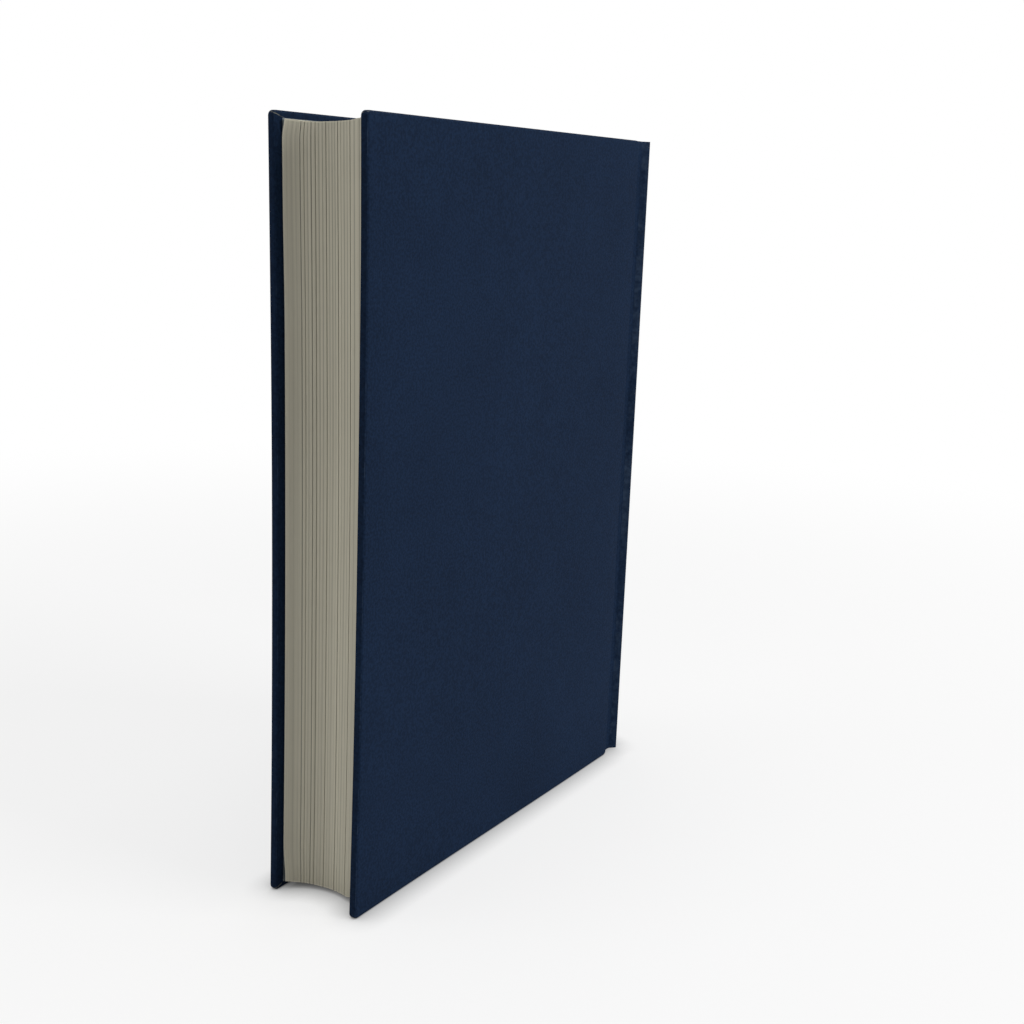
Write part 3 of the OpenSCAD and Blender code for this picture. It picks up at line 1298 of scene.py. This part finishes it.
@dataclass
class SpineCloth:
    """Cloth over the card of the spine, turned in over the card at the head and the tail."""

    sizes: BookSizes
    finish: bpy.types.Material
    steps: int = 44
    end_round: float = 0.6 * MM

    def build(self) -> bpy.types.Object:
        """Builds the spine's cloth and dresses it.

        Returns:
            The finished piece.
        """
        s = self.sizes
        outer = s.spine_round
        inner = math.hypot(s.card[0].y - s.round_y, s.card[1].x) - s.glue - s.cloth
        angle = math.pi / 2 - s.spine_lean
        out = Vector((math.cos(angle), math.sin(angle), 0))
        level = out.cross(Vector(UP))
        middle = Vector((0, s.round_y, 0))

        def at(radius: float, height: float) -> Vector:
            """Point in the section through the spine's edge."""
            return middle + radius * out + Vector((0, 0, height))

        r, t, h, fold = self.end_round, s.cloth, s.height, s.turn_in
        quarter = math.pi / 2
        small = r - t
        stretches = [
            Straight(at(outer, h - r), 24),
            Bend(at(outer - r, h - r), quarter, s.fillets, level),
            Straight(at(inner + r, h)),
            Bend(at(inner + r, h - r), quarter, s.fillets, level),
            Straight(at(inner, h - fold), 3),
            Straight(at(inner + t, h - fold)),
            Straight(at(inner + t, h - r), 3),
            Bend(at(inner + t + small, h - r), -quarter, s.fillets, level),
            Straight(at(outer - t - small, h - t)),
            Bend(at(outer - t - small, h - r), -quarter, s.fillets, level),
            Straight(at(outer - t, r), 24),
            Bend(at(outer - t - small, r), -quarter, s.fillets, level),
            Straight(at(inner + t + small, t)),
            Bend(at(inner + t + small, r), -quarter, s.fillets, level),
            Straight(at(inner + t, fold), 3),
            Straight(at(inner, fold)),
            Straight(at(inner, r), 3),
            Bend(at(inner + r, r), quarter, s.fillets, level),
            Straight(at(outer - r, 0)),
            Bend(at(outer - r, r), quarter, s.fillets, level),
        ]
        spine = draw_line("spine_case_cloth", at(outer, r), stretches)
        sweep_section(spine, middle, s.spine_lean, self.steps)
        reshape(spine, self.worn)
        lay_threads(spine)
        smooth(spine)
        paint_edges(spine)
        self.clear_marks(spine)
        dress(spine, self.finish, "spine_cloth")
        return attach(spine, "root")

    def worn(self, spot: Vector) -> Vector:
        """Lets the cloth dip a little along the middle of the spine, away from its ends and ridges.

        Args:
            spot: The point, on the even cloth.

        Returns:
            The point, on the worn cloth.
        """
        s = self.sizes
        away = 1 - abs(math.atan2(spot.x, spot.y - s.round_y)) / s.spine_lean
        ends = ease(min(spot.z, s.height - spot.z) / (30 * MM))
        dip = 0.05 * MM * wave(spot, 40 * MM, 9.0) * ends * ease(2 * away)
        out = Vector((spot.x, spot.y - s.round_y, 0)).normalized()
        return spot + dip * out

    def clear_marks(self, spine: bpy.types.Object) -> None:
        """Keeps the edge marks only at the head and the tail, because a round spine isn't an edge.

        Args:
            spine: The spine's cloth.
        """
        s = self.sizes
        marks = spine.data.attributes["edge"].data
        for corner, mark in zip(spine.data.vertices, marks):
            near = 1 - ease((min(corner.co.z, s.height - corner.co.z) - self.end_round) / (2 * MM))
            mark.value = near * abs(corner.normal.z) ** 0.5


@dataclass(frozen=True)
class Rise:
    """How a sheet leaves its flat part at x, round a foot, and climbs at a lean to the shoulder."""

    x: float
    foot: float
    lean: float
    radius: float


@dataclass
class Endpapers:
    """The endpapers of one side: a pastedown with its joint, and a free flyleaf."""

    sizes: BookSizes
    warp: Warp
    side: Side
    finish: bpy.types.Material
    ramp: float = 1.2 * MM
    flap: float = 25 * MM
    fold_from: float = math.radians(-28)
    fold_steps: int = 12
    climb: float = math.radians(45)
    foot: float = 1.2 * MM

    def draw_sheet(self, name: str, rise: Rise, steps: int, rounds: Sequence[Bend]) -> bpy.types.Object:
        """Draws a sheet in section from the fore-edge over the shoulder, and pulls it up.

        Args:
            name: Name of the piece.
            rise: How it rises from its flat part to the shoulder.
            steps: Number of steps in its flat part.
            rounds: Its round stretches on the shoulder.

        Returns:
            The sheet's middle surface.
        """
        s = self.sizes
        x, foot, lean = rise.x, rise.foot, rise.lean
        up = around(s.shoulder, rise.radius, -lean)
        bend_top_x = x + foot * (1 - math.cos(lean))
        bend_y = up.y - (up.x - bend_top_x) / math.tan(lean) - foot * math.sin(lean)
        stretches = [Straight((x, bend_y, 0), steps), Bend((x + foot, bend_y, 0), -lean, s.fillets),
                     Straight(up), *rounds]
        sheet = draw_line(name, (x, s.pages[0].y, 0), stretches)
        reshape(sheet, lambda spot: spot + Vector((0, 0, s.pages[0].z)))
        raise_line(sheet, s.pages[1].z - s.pages[0].z)
        return sheet

    def finish_sheet(self, sheet: bpy.types.Object, node: str, warped: Shape) -> None:
        """Gives a drawn sheet its thickness, its side, its warp and its finish.

        Args:
            sheet: The sheet's middle surface.
            node: The node that it stands for.
            warped: Shape that warps it with the book.
        """
        apply_modifier(sheet, "SOLIDIFY", thickness=self.sizes.paper, offset=0.0, use_even_offset=True)
        with editing(sheet):
            point_outwards()
        mirror_to(sheet, self.side)
        reshape(sheet, warped)
        smooth(sheet)
        dress(sheet, self.finish, node)

    def build_pastedown(self) -> bpy.types.Object:
        """Builds the paper on the cover, through the joint up to its fold on the shoulder.

        Returns:
            The finished piece.
        """
        s = self.sizes
        radius = s.shoulder_round + 1.5 * s.paper + 0.01 * MM
        rounds = [Bend(s.shoulder, self.fold_from + self.climb, 4),
                  Bend(s.shoulder, -self.fold_from, self.fold_steps)]
        rise = Rise(s.paste[0].x + s.paper / 2, self.foot, self.climb, radius)
        sheet = self.draw_sheet(f"{self.side.word}_pastedown_paper", rise, 1, rounds)
        self.cut_steps(sheet)
        reshape(sheet, self.pressed)
        self.finish_sheet(sheet, f"{self.side.word}_pastedown", self.warp.bend_cover(self.side))
        start, end = around(s.shoulder, radius, self.fold_from), around(s.shoulder, radius, 0)
        self.side.body
        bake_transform(sheet)
        return sheet

    def cut_steps(self, sheet: bpy.types.Object) -> None:
        """Cuts the sheet finely where it steps down off the turn-ins, and coarsely elsewhere.

        Args:
            sheet: The sheet.
        """
        s = self.sizes
        fore, spine_side = s.cover[0].y + s.turn_in, s.board_end - self.flap
        steps = [share * self.ramp / 4 for share in range(5)]
        cut_at(sheet, Axis.Y, [fore + step for step in steps] + [spine_side - step for step in steps])
        cut_at(sheet, Axis.Y, even_places(fore + self.ramp, spine_side - self.ramp, 8))
        ends = [s.turn_in + step for step in steps]
        cut_at(sheet, Axis.Z, ends + [s.height - end for end in ends])
        cut_at(sheet, Axis.Z, even_places(s.turn_in + self.ramp, s.height - s.turn_in - self.ramp, 16))

    def pressed(self, spot: Vector) -> Vector:
        """Presses the pastedown onto the board inside the turn-ins, as glue draws it down.

        Args:
            spot: The point, on the flat sheet.

        Returns:
            The point, on the glued sheet.
        """
        s = self.sizes
        room = min(spot.y - s.cover[0].y - s.turn_in, s.board_end - self.flap - spot.y,
                   spot.z - s.turn_in, s.height - s.turn_in - spot.z)
        sink = s.cloth * ease(room / self.ramp)
        waver = 0.02 * MM * wave((0, spot.y, spot.z), 25 * MM, 5.0 + self.side.value) * ease(room / (8 * MM))
        return spot + Vector((sink + waver, 0, 0))

    def build_flyleaf(self) -> bpy.types.Object:
        """Builds the free leaf, from the fore-edge to its fold on the shoulder.

        Returns:
            The finished piece.
        """
        s = self.sizes
        x = s.leaf[0].x + s.paper / 2
        away = x - s.half_block
        rise = Rise(x, s.shoulder_bend - away, s.shoulder_turn, s.shoulder_round + away)
        sheet = self.draw_sheet(f"{self.side.word}_free_leaf", rise, 8, [Bend(s.shoulder, rise.lean, 8)])
        cut_at(sheet, Axis.Z, s.page_levels[1:-1])
        self.finish_sheet(sheet, f"{self.side.word}_flyleaf", self.warp.bend_pages)
        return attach(sheet, "root")


@dataclass(frozen=True)
class Gap:
    """A gap between two sections of pages, in millimetres, how much shade is painted into it, and how many
    sections lie up to the next.
    """

    at: float
    depth: float
    # How much shade is painted into the gap's colour, from 0 to 1.
    dark: float
    tint: float = 0.0
    sections: int = 1


@dataclass
class TextBlock:
    """The pages: hollow at the fore-edge, backed at the spine, with every cut edge a little uneven."""

    sizes: BookSizes
    warp: Warp
    finish: bpy.types.Material
    columns: tuple[int, ...] = (18, 20)
    gap_width: float = 0.10 * MM
    furrow_width: float = 0.13 * MM
    ripple: float = 0.05 * MM
    rounded: float = 0.3 * MM
    drift: float = 0.30 * MM
    fan: float = 0.45 * MM
    sway: float = 0.12 * MM
    slump: float = 0.9 * MM
    widening: float = 0.6
    # Painted shade on the pages towards the front cover.
    front_shade: float = 0.18
    # Share of the painted highlight beside the gaps.
    halo_share: float = 0.3
    # Strength of the painted highlight along the rims of the fore-edge face.
    rim_share: float = 0.6
    flat_stations: int = 12
    fore_stations: int = 4
    gaps: tuple[Gap, ...] = (
        Gap(-14.3, 0.0, 0.0, 0.0, 4), Gap(-10.05, 0.28, 0.64, 0.35), Gap(-9.08, 0.26, 0.60, 0.0, 2),
        Gap(-7.20, 0.28, 0.64, 0.25), Gap(-6.03, 0.28, 0.60, 0.0, 3), Gap(-2.75, 0.30, 0.80, 0.0, 4),
        Gap(1.40, 0.28, 0.90), Gap(2.60, 0.14, 0.35, 0.0, 3), Gap(6.45, 0.30, 0.95, 0.0, 4),
    )

    @property
    def furrows(self) -> list[float]:
        """Places of the fine furrows, which part the sections between one gap and the next."""
        ends = [gap.at * MM for gap in self.gaps[1:]] + [self.sizes.half_block]
        places = []
        for gap, end in zip(self.gaps, ends):
            start = gap.at * MM
            places += [start + (end - start) * step / gap.sections for step in range(1, gap.sections)]
        return places

    @property
    def side_profile(self) -> list[tuple[float, float]]:
        """Half width and place of each station, from the fore-edge to the top of the shoulder's ridge."""
        s = self.sizes
        fore, half = s.pages[0].y, s.half_block
        lean, bend, ridge = s.shoulder_turn, s.shoulder_bend, s.shoulder_round
        top = s.shoulder
        foot = top.y - ((top.x - half - bend) * math.cos(lean) + ridge + bend) / math.sin(lean)
        flat = [fore, fore + 0.6 * MM, fore + 4 * MM, fore + 10 * MM]
        flat += even_places(flat[-1], foot, self.flat_stations - self.fore_stations) + [foot]
        turned = [lean * step / 5 for step in range(1, 6)]
        rim = [-lean + (math.pi / 2 - self.back_lean + lean) * step / 8 for step in range(9)]
        return ([(half, y) for y in flat]
                + [(half + bend * (1 - math.cos(a)), foot + bend * math.sin(a)) for a in turned]
                + [(top.x + ridge * math.cos(a), top.y + ridge * math.sin(a)) for a in rim])

    @property
    def back_lean(self) -> float:
        """Angle from the middle of the back to the top of a shoulder's ridge."""
        s = self.sizes
        return math.asin(s.shoulder.x / (s.back_round - s.shoulder_round))

    def build(self) -> bpy.types.Object:
        """Builds the pages, with a mark on each corner for leaf, gap (painted shade), fold (painted shade
        and highlight), tint and rim (painted highlight).

        Returns:
            The finished piece.
        """
        s = self.sizes
        profile, heights = self.side_profile, s.page_levels
        stations, levels = len(profile) - 1, len(heights) - 1
        pages = new_block("page_block", (-s.half_block, 0, 0), (s.half_block, stations * MM, levels * MM))
        slice_block(pages, {Axis.X: self.columns, Axis.Y: (stations,), Axis.Z: (levels,)})
        marks: dict[str, list[float]] = {"leaf": [], "gap": [], "fold": [], "tint": [], "rim": []}
        for corner in pages.data.vertices:
            spot = corner.co.copy()
            station = round(spot.y / MM)
            spot.z = heights[round(spot.z / MM)]
            corner.co = self.warp.bend_pages(self.placed(spot, station, profile))
            self.note(marks, spot, station, stations)
        for name, values in marks.items():
            paint(pages, name, values)
        with editing(pages):
            point_outwards()
        smooth(pages, 50)
        dress(pages, self.finish, "text_block")
        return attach(pages, "root")

    def gap_at(self, x: float) -> tuple[float, float, float, float]:
        """How deep and tinted the gaps are at one place across the thickness, and how much shade and
        highlight are painted there.

        Args:
            x: Place across the thickness.

        Returns:
            Depth in metres, painted shade and tint from 0 to 1, and the weight of the painted highlight
            beside the gaps.
        """
        depth = dark = tint = painted_highlight = 0.0
        for gap in self.gaps:
            away = ((x - gap.at * MM) / (self.gap_width * self.breadth(x))) ** 2
            near = math.exp(-away)
            depth += gap.depth * MM * near
            dark += gap.dark * near
            tint += gap.tint * near
            # Painted highlight on the pages beside each gap.
            painted_highlight += gap.dark * math.exp(-away / 12)
        return depth, min(1.0, dark), min(1.0, tint), painted_highlight

    def note(self, marks: dict[str, list[float]], spot: Vector, station: int, stations: int) -> None:
        """Adds one corner's marks.

        Args:
            marks: The lists that the marks go into.
            spot: Place of the corner in the even block.
            station: Which station along Y the corner is at.
            stations: Number of the last station.
        """
        s = self.sizes
        _, dark, tint, painted_highlight = self.gap_at(spot.x)
        cut = station < stations
        marks["leaf"].append(spot.x)
        # Shade painted into the gaps and furrows, stronger towards the head.
        upper = 0.4 + 0.6 * smooth_step(spot.z, 60 * MM, 200 * MM)
        marks["gap"].append(min(1.0, dark * (0.7 + 0.6 * upper)) if cut else 0.0)
        marks["tint"].append(tint if cut else 0.0)
        # Painted shade towards the front cover and in the furrows, less a painted highlight beside the gaps.
        front = self.front_shade * (1 - smooth_step(spot.x, -13 * MM, 1 * MM))
        marks["fold"].append(upper * self.fold_at(spot) - self.halo_share * painted_highlight + front if cut else 0.0)
        end = min(spot.z - s.pages[0].z, s.pages[1].z - spot.z)
        side = s.half_block - abs(spot.x)
        # Painted highlight along the top, bottom and sides of the fore-edge face.
        rim = self.rim_share * (1 - smooth_step(min(end, side), 0.2 * MM, 0.5 * MM))
        marks["rim"].append(rim if station == 0 else 0.0)

    def breadth(self, x: float) -> float:
        """How much wider gaps and furrows are towards the back cover, where the pages press less."""
        return 1 + self.widening * max(0.0, x / self.sizes.half_block)

    def fold_at(self, spot: Vector) -> float:
        """How far a place lies in one of the fine furrows between sections, from 0 to 1.

        Args:
            spot: Place in the even block.

        Returns:
            1 in the middle of a furrow, 0 well away from all.
        """
        width = self.furrow_width * self.breadth(spot.x)
        near = sum(math.exp(-((spot.x - place) / width) ** 2) for place in self.furrows)
        strength = 0.3 + 0.7 * smooth_step(spot.x, -10.5 * MM, -6.5 * MM)
        return min(1.0, near) * strength * (0.8 + 0.2 * wave((spot.x, 0, spot.z), 9 * MM, 8.0))

    def placed(self, spot: Vector, station: int, profile: list[tuple[float, float]]) -> Vector:
        """Puts a corner of the even block where it lies on the pages.

        Args:
            spot: Place in the even block.
            station: Which station along Y the corner is at.
            profile: Half width and place of each station.

        Returns:
            Place on the pages.
        """
        s = self.sizes
        half, y = profile[station]
        share = spot.x / s.half_block
        tall = (spot.z - s.pages[0].z) / (s.pages[1].z - s.pages[0].z)
        lean = self.drift * (1 - 2 * tall) + self.sway * wave((0, 0, spot.z), 60 * MM, 2.0)
        lean -= self.fan * ease(2 * tall - 1) * ease(share + 0.6)
        x = (spot.x + lean * (1 - share ** 4)) * half / s.half_block
        fore_round = (s.half_block ** 2 + s.hollow ** 2) / (2 * s.hollow)
        hollow = 0.0
        if station < self.fore_stations:
            hollow = math.sqrt(fore_round ** 2 - x * x) - (fore_round - s.hollow)
        hollow += self.slump * (1 - share * share) * (1 + 0.6 * share)
        hollow *= 1 - smooth_step(y, profile[1][1], profile[self.fore_stations][1])
        crown = math.sqrt(s.back_round ** 2 - x * x) - s.back_round * math.cos(self.back_lean)
        backed = smooth_step(y, profile[self.flat_stations - 1][1], profile[-1][1])
        place = Vector((x, y + max(0.0, hollow) + crown * backed, spot.z))
        return place + self.unevenness(spot, station)

    def unevenness(self, spot: Vector, station: int) -> Vector:
        """How far a corner on a cut edge lies inside the clean cut, by its gap and its fold.

        Args:
            spot: Place in the even block.
            station: Which station along Y the corner is at.

        Returns:
            The shift into the pages.
        """
        s = self.sizes
        depth = self.gap_at(spot.x)[0]
        depth += 2 * self.ripple * self.fold_at(spot)
        depth += self.ripple * (1 + wave((spot.x, 0, 0.15 * spot.z), 0.4 * MM, 1.0)) / 2
        depth *= ease((s.half_block - abs(spot.x)) / self.rounded)
        shift = Vector((0, 0, 0))
        if station == 0:
            shift.y = depth
        if station < self.flat_stations:
            if abs(spot.z - s.pages[1].z) < TINY:
                shift.z = -depth
            elif abs(spot.z - s.pages[0].z) < TINY:
                shift.z = depth
        return shift


@dataclass
class SpineLinings:
    """What is glued to the back of the pages: the mull and the two bands."""

    sizes: BookSizes
    gauze: bpy.types.Material
    silk: bpy.types.Material
    bead: float = 0.85 * MM
    tape: float = 10 * MM
    rib_pitch: float = 0.55 * MM
    rib: float = 0.07 * MM

    def build_mull(self) -> bpy.types.Object:
        """Builds the gauze over the back, from one shoulder to the other.

        Returns:
            The finished piece.
        """
        s = self.sizes
        inner = s.back_round + s.glue
        outer = inner + s.mull
        lean = math.asin((s.shoulder.x + 0.1 * MM) / outer)
        middle = Vector((0, s.round_y, 0))
        low = s.pages[0].z + self.tape + s.glue

        def at(radius: float, angle: float) -> Vector:
            """Point on a circle about the middle of the rounds."""
            return middle + Vector((radius * math.sin(angle), radius * math.cos(angle), low))

        rise = Vector((0, 0, low))
        stretches = [Bend(middle + rise, 2 * lean, 32), Straight(at(inner, -lean)),
                     Bend(middle + rise, -2 * lean, 32), Straight(at(outer, lean))]
        mull = draw_line("gauze_lining", at(outer, lean), stretches)
        raise_outline(mull, s.height - 2 * low)
        return self.glue_on(mull, self.gauze, "mull_lining")

    def build_band(self, node: str, head: bool) -> bpy.types.Object:
        """Builds a band: a bead wound with silk on the pages' end, and its tape down their back.

        Args:
            node: The node that it stands for.
            head: Whether it is the one at the head.

        Returns:
            The finished piece.
        """
        s = self.sizes
        lean = math.asin(s.half_block / s.back_round)
        tape_inner = s.back_round + s.glue
        tape_outer = tape_inner + s.mull
        middle = Vector((0, s.round_y, 0))
        out = Vector((math.sin(lean), math.cos(lean), 0))
        level = out.cross(Vector(UP))
        bead_at = middle + (tape_outer - self.bead) * out + Vector((0, 0, s.pages[1].z + s.glue + self.bead))
        turn = math.acos((self.bead - s.mull) / self.bead)

        def at(radius: float, height: float) -> Vector:
            """Point in the section through the band's end, above or below the pages' head."""
            return middle + radius * out + Vector((0, 0, s.pages[1].z + height))

        joined = s.glue + self.bead
        stretches = [Bend(bead_at, 2 * math.pi - turn, 20, level), Straight(at(tape_inner, -self.tape)),
                     Straight(at(tape_outer, -self.tape)), Straight(at(tape_outer, joined))]
        band = draw_line(f"{node}_silk", at(tape_outer, joined), stretches)
        ribs = round(2 * lean * tape_outer / self.rib_pitch)
        sweep_section(band, middle, lean, 4 * ribs)
        reshape(band, lambda spot: self.ribbed(spot, bead_at, ribs, lean))
        if not head:
            mirror(band, (1, 1, -1), about=(0, 0, s.height / 2))
        return self.glue_on(band, self.silk, node)

    def ribbed(self, spot: Vector, bead_at: Vector, ribs: int, lean: float) -> Vector:
        """Moves a point of the bead in or out with the turns of silk round it.

        Args:
            spot: The point.
            bead_at: Middle of the bead at one end.
            ribs: Number of turns of silk.
            lean: Half of the angle that the band spans.

        Returns:
            The moved point.
        """
        s = self.sizes
        angle = math.atan2(spot.x, spot.y - s.round_y)
        reach = math.hypot(bead_at.x, bead_at.y - s.round_y)
        core = Vector((reach * math.sin(angle), s.round_y + reach * math.cos(angle), bead_at.z))
        offset = spot - core
        if spot.z < s.pages[1].z + s.glue or offset.length < TINY:
            return spot
        wound = 0.5 - 0.5 * math.cos(2 * math.pi * ribs * (angle + lean) / (2 * lean))
        return spot - offset.normalized() * self.rib * (1 - wound)

    def glue_on(self, piece: bpy.types.Object, finish: bpy.types.Material, node: str) -> bpy.types.Object:
        """Gives a lining its finish and puts it on the pages.

        Args:
            piece: The lining.
            finish: Its material.
            node: The node that it stands for.

        Returns:
            The piece.
        """
        lay_threads(piece)
        smooth(piece)
        dress(piece, finish, node)
        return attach(piece, "root")


def redress(node: str, finish: bpy.types.Material) -> None:
    """Gives a node of the frame a better material.

    Args:
        node: Name of the node.
        finish: The material.
    """
    mesh = frame["nodes"][node].data
    if not mesh.materials:
        mesh.materials.append(finish)
    for place in range(len(mesh.materials)):
        mesh.materials[place] = finish


@dataclass(frozen=True)
class Lamp:
    """A square soft lamp: its place from the middle of the book, its side and its power in watts."""

    name: str
    offset: Point
    side: float
    power: float

    def hang(self, aim: Vector) -> None:
        """Hangs the lamp so that it faces the point that its place is measured from.

        Args:
            aim: The point, in the middle of the book.
        """
        deselect()
        bpy.ops.object.light_add(type="AREA", location=aim + Vector(self.offset))
        lamp = bpy.context.object
        lamp.name = self.name
        lamp.data.shape = "SQUARE"
        lamp.data.size = self.side
        lamp.data.energy = self.power
        lamp.rotation_euler = (-Vector(self.offset)).to_track_quat("-Z", "Y").to_euler()


@dataclass
class Studio:
    """Floor, lamps, world and camera of a plain pale studio."""

    sizes: BookSizes
    camera_at: Point = (0.25945, -0.40395, 0.2231)
    azimuth: float = 31.28
    elevation: float = 12.89
    roll: float = 2.14
    lens: float = 48.80
    ambient: float = 0.25
    floor_reach: float = 2.4
    floor_glow: float = 0.72
    lamps: tuple[Lamp, ...] = (
        Lamp("key softbox", (1.40, 0.35, 0.45), 0.8, 13.8),
        Lamp("top softbox", (0.0, 0.1, 1.5), 1.1, 8.0),
        Lamp("fill softbox", (-1.0, -1.1, 0.35), 1.0, 3.6),
    )

    def build(self) -> None:
        """Sets up everything around the book."""
        scene = bpy.context.scene
        scene.view_settings.view_transform = "Standard"
        self.build_camera()
        self.build_world()
        self.build_floor()
        for lamp in self.lamps:
            lamp.hang(Vector((0, 0, self.sizes.height / 2)))

    def build_camera(self) -> None:
        """Places the camera at the photograph's viewpoint."""
        turn, tilt, roll = (math.radians(angle) for angle in (self.azimuth, self.elevation, self.roll))
        back = Vector((math.sin(turn) * math.cos(tilt), -math.cos(turn) * math.cos(tilt), math.sin(tilt)))
        right = Vector((math.cos(turn), math.sin(turn), 0))
        up = right.cross(-back)
        right, up = (math.cos(roll) * right + math.sin(roll) * up,
                     -math.sin(roll) * right + math.cos(roll) * up)
        deselect()
        bpy.ops.object.camera_add()
        camera = bpy.context.object
        camera.name = "photo camera"
        camera.data.lens = self.lens
        camera.data.sensor_width = 36.0
        camera.data.clip_start = 0.01
        turned = Matrix((right, up, back)).transposed().to_4x4()
        camera.matrix_world = Matrix.Translation(self.camera_at) @ turned
        bpy.context.scene.camera = camera

    def build_world(self) -> None:
        """Lights softly from all round, and shows white to the camera and in reflections."""
        world = bpy.data.worlds.new("studio")
        bpy.context.scene.world = world
        nodes = emptied(world)
        seen = self.seen_directly(nodes)
        strength = nodes.scaled(seen, 1.0 - self.ambient, self.ambient)
        background = nodes.add("ShaderNodeBackground", {"Color": (1.0, 1.0, 1.0), "Strength": strength})
        nodes.show("ShaderNodeOutputWorld", background.outputs[0])

    def seen_directly(self, nodes: Nodes) -> bpy.types.NodeSocket:
        """1 for rays from the camera, a gloss or a glass, and 0 for those that only light.

        Args:
            nodes: Nodes of the floor or the world.

        Returns:
            The mask.
        """
        path = nodes.add("ShaderNodeLightPath").outputs
        seen = nodes.math("MAXIMUM", path["Is Camera Ray"], path["Is Glossy Ray"])
        return nodes.math("MAXIMUM", seen, path["Is Transmission Ray"])

    def build_floor(self) -> None:
        """Adds a pale floor that keeps the book's shadow and fades to white."""
        deselect()
        bpy.ops.mesh.primitive_circle_add(vertices=96, radius=self.floor_reach, fill_type="NGON")
        floor = name_piece("studio floor")
        material = bpy.data.materials.new("pale floor")
        nodes = emptied(material)
        matt = nodes.add("ShaderNodeBsdfDiffuse", {"Color": (0.30, 0.30, 0.30)})
        open_sky = nodes.add("ShaderNodeAmbientOcclusion", {"Distance": 10 * MM}).outputs["AO"]
        lift = nodes.add("ShaderNodeEmission", {"Color": (1.0, 1.0, 1.0),
                                                "Strength": nodes.times(open_sky, self.floor_glow)})
        shown = nodes.add("ShaderNodeAddShader", {0: matt.outputs[0], 1: lift.outputs[0]})
        white = nodes.add("ShaderNodeEmission", {"Color": (1.0, 1.0, 1.0), "Strength": 1.0})
        distance = nodes.add("ShaderNodeVectorMath", {0: nodes.place()}, operation="LENGTH")
        fade = nodes.ramp(distance.outputs["Value"], 0.22, 0.8)
        near = nodes.add("ShaderNodeMixShader", {0: fade, 1: shown.outputs[0], 2: white.outputs[0]})
        bounce = nodes.add("ShaderNodeBsdfDiffuse", {"Color": (0.72, 0.72, 0.72)})
        surface = nodes.add("ShaderNodeMixShader", {0: self.seen_directly(nodes), 1: bounce.outputs[0],
                                                    2: near.outputs[0]})
        nodes.show("ShaderNodeOutputMaterial", surface.outputs[0])
        floor.data.materials.append(material)


GAUZE = Woven("gauze", linear(232, 228, 212), linear(168, 160, 140), 1.1 * MM, 0.12 * MM)
SILK = Woven("band silk", linear(228, 224, 210), linear(190, 182, 162), 0.3 * MM, 0.05 * MM, 0.25)
GREYBOARD = PulpBoard("greyboard", linear(150, 145, 130), linear(110, 104, 92))
KRAFT = PulpBoard("kraft liner", linear(176, 144, 104), linear(138, 108, 74))


def dress_hidden_parts(effects: Effects, board: bpy.types.Material) -> None:
    """Gives the nodes inside the case and under the paper their materials.

    Args:
        effects: The shared effects.
        board: The greyboard's material.
    """
    gauze = replace(GAUZE, name="mull flap").make(effects)
    redress("spine_stiffener", board)
    redress("spine_liner", KRAFT.make(effects))
    for node in ("front_mull_flap", "back_mull_flap"):
        redress(node, gauze)


def main() -> None:
    """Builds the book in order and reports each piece."""
    logging.basicConfig(level=logging.INFO, format="%(name)s: %(message)s")
    sizes = BookSizes()
    warp = Warp(sizes)
    effects = Effects()
    cloth = BookCloth(sizes).make(effects)
    paper = Endpaper().make(effects)
    pulp = GREYBOARD.make(effects)
    Studio(sizes).build()
    built = []
    for side in Side:
        built.append(CoverCloth(sizes, warp, side, cloth).build())
        built.append(Board(sizes, warp, side, pulp).build())
        papers = Endpapers(sizes, warp, side, paper)
        built += [papers.build_pastedown(), papers.build_flyleaf()]
    built.append(SpineCloth(sizes, cloth).build())
    built.append(TextBlock(sizes, warp, PageEdges().make(effects)).build())
    linings = SpineLinings(sizes, GAUZE.make(effects), SILK.make(effects))
    built.append(linings.build_mull())
    built.append(linings.build_band("headband", head=True))
    built.append(linings.build_band("tailband", head=False))
    dress_hidden_parts(effects, pulp)
    for piece in built:
        LOG.info("%s: %d faces", piece.name, len(piece.data.polygons))
    deselect()


if __name__ == "__main__":
    main()
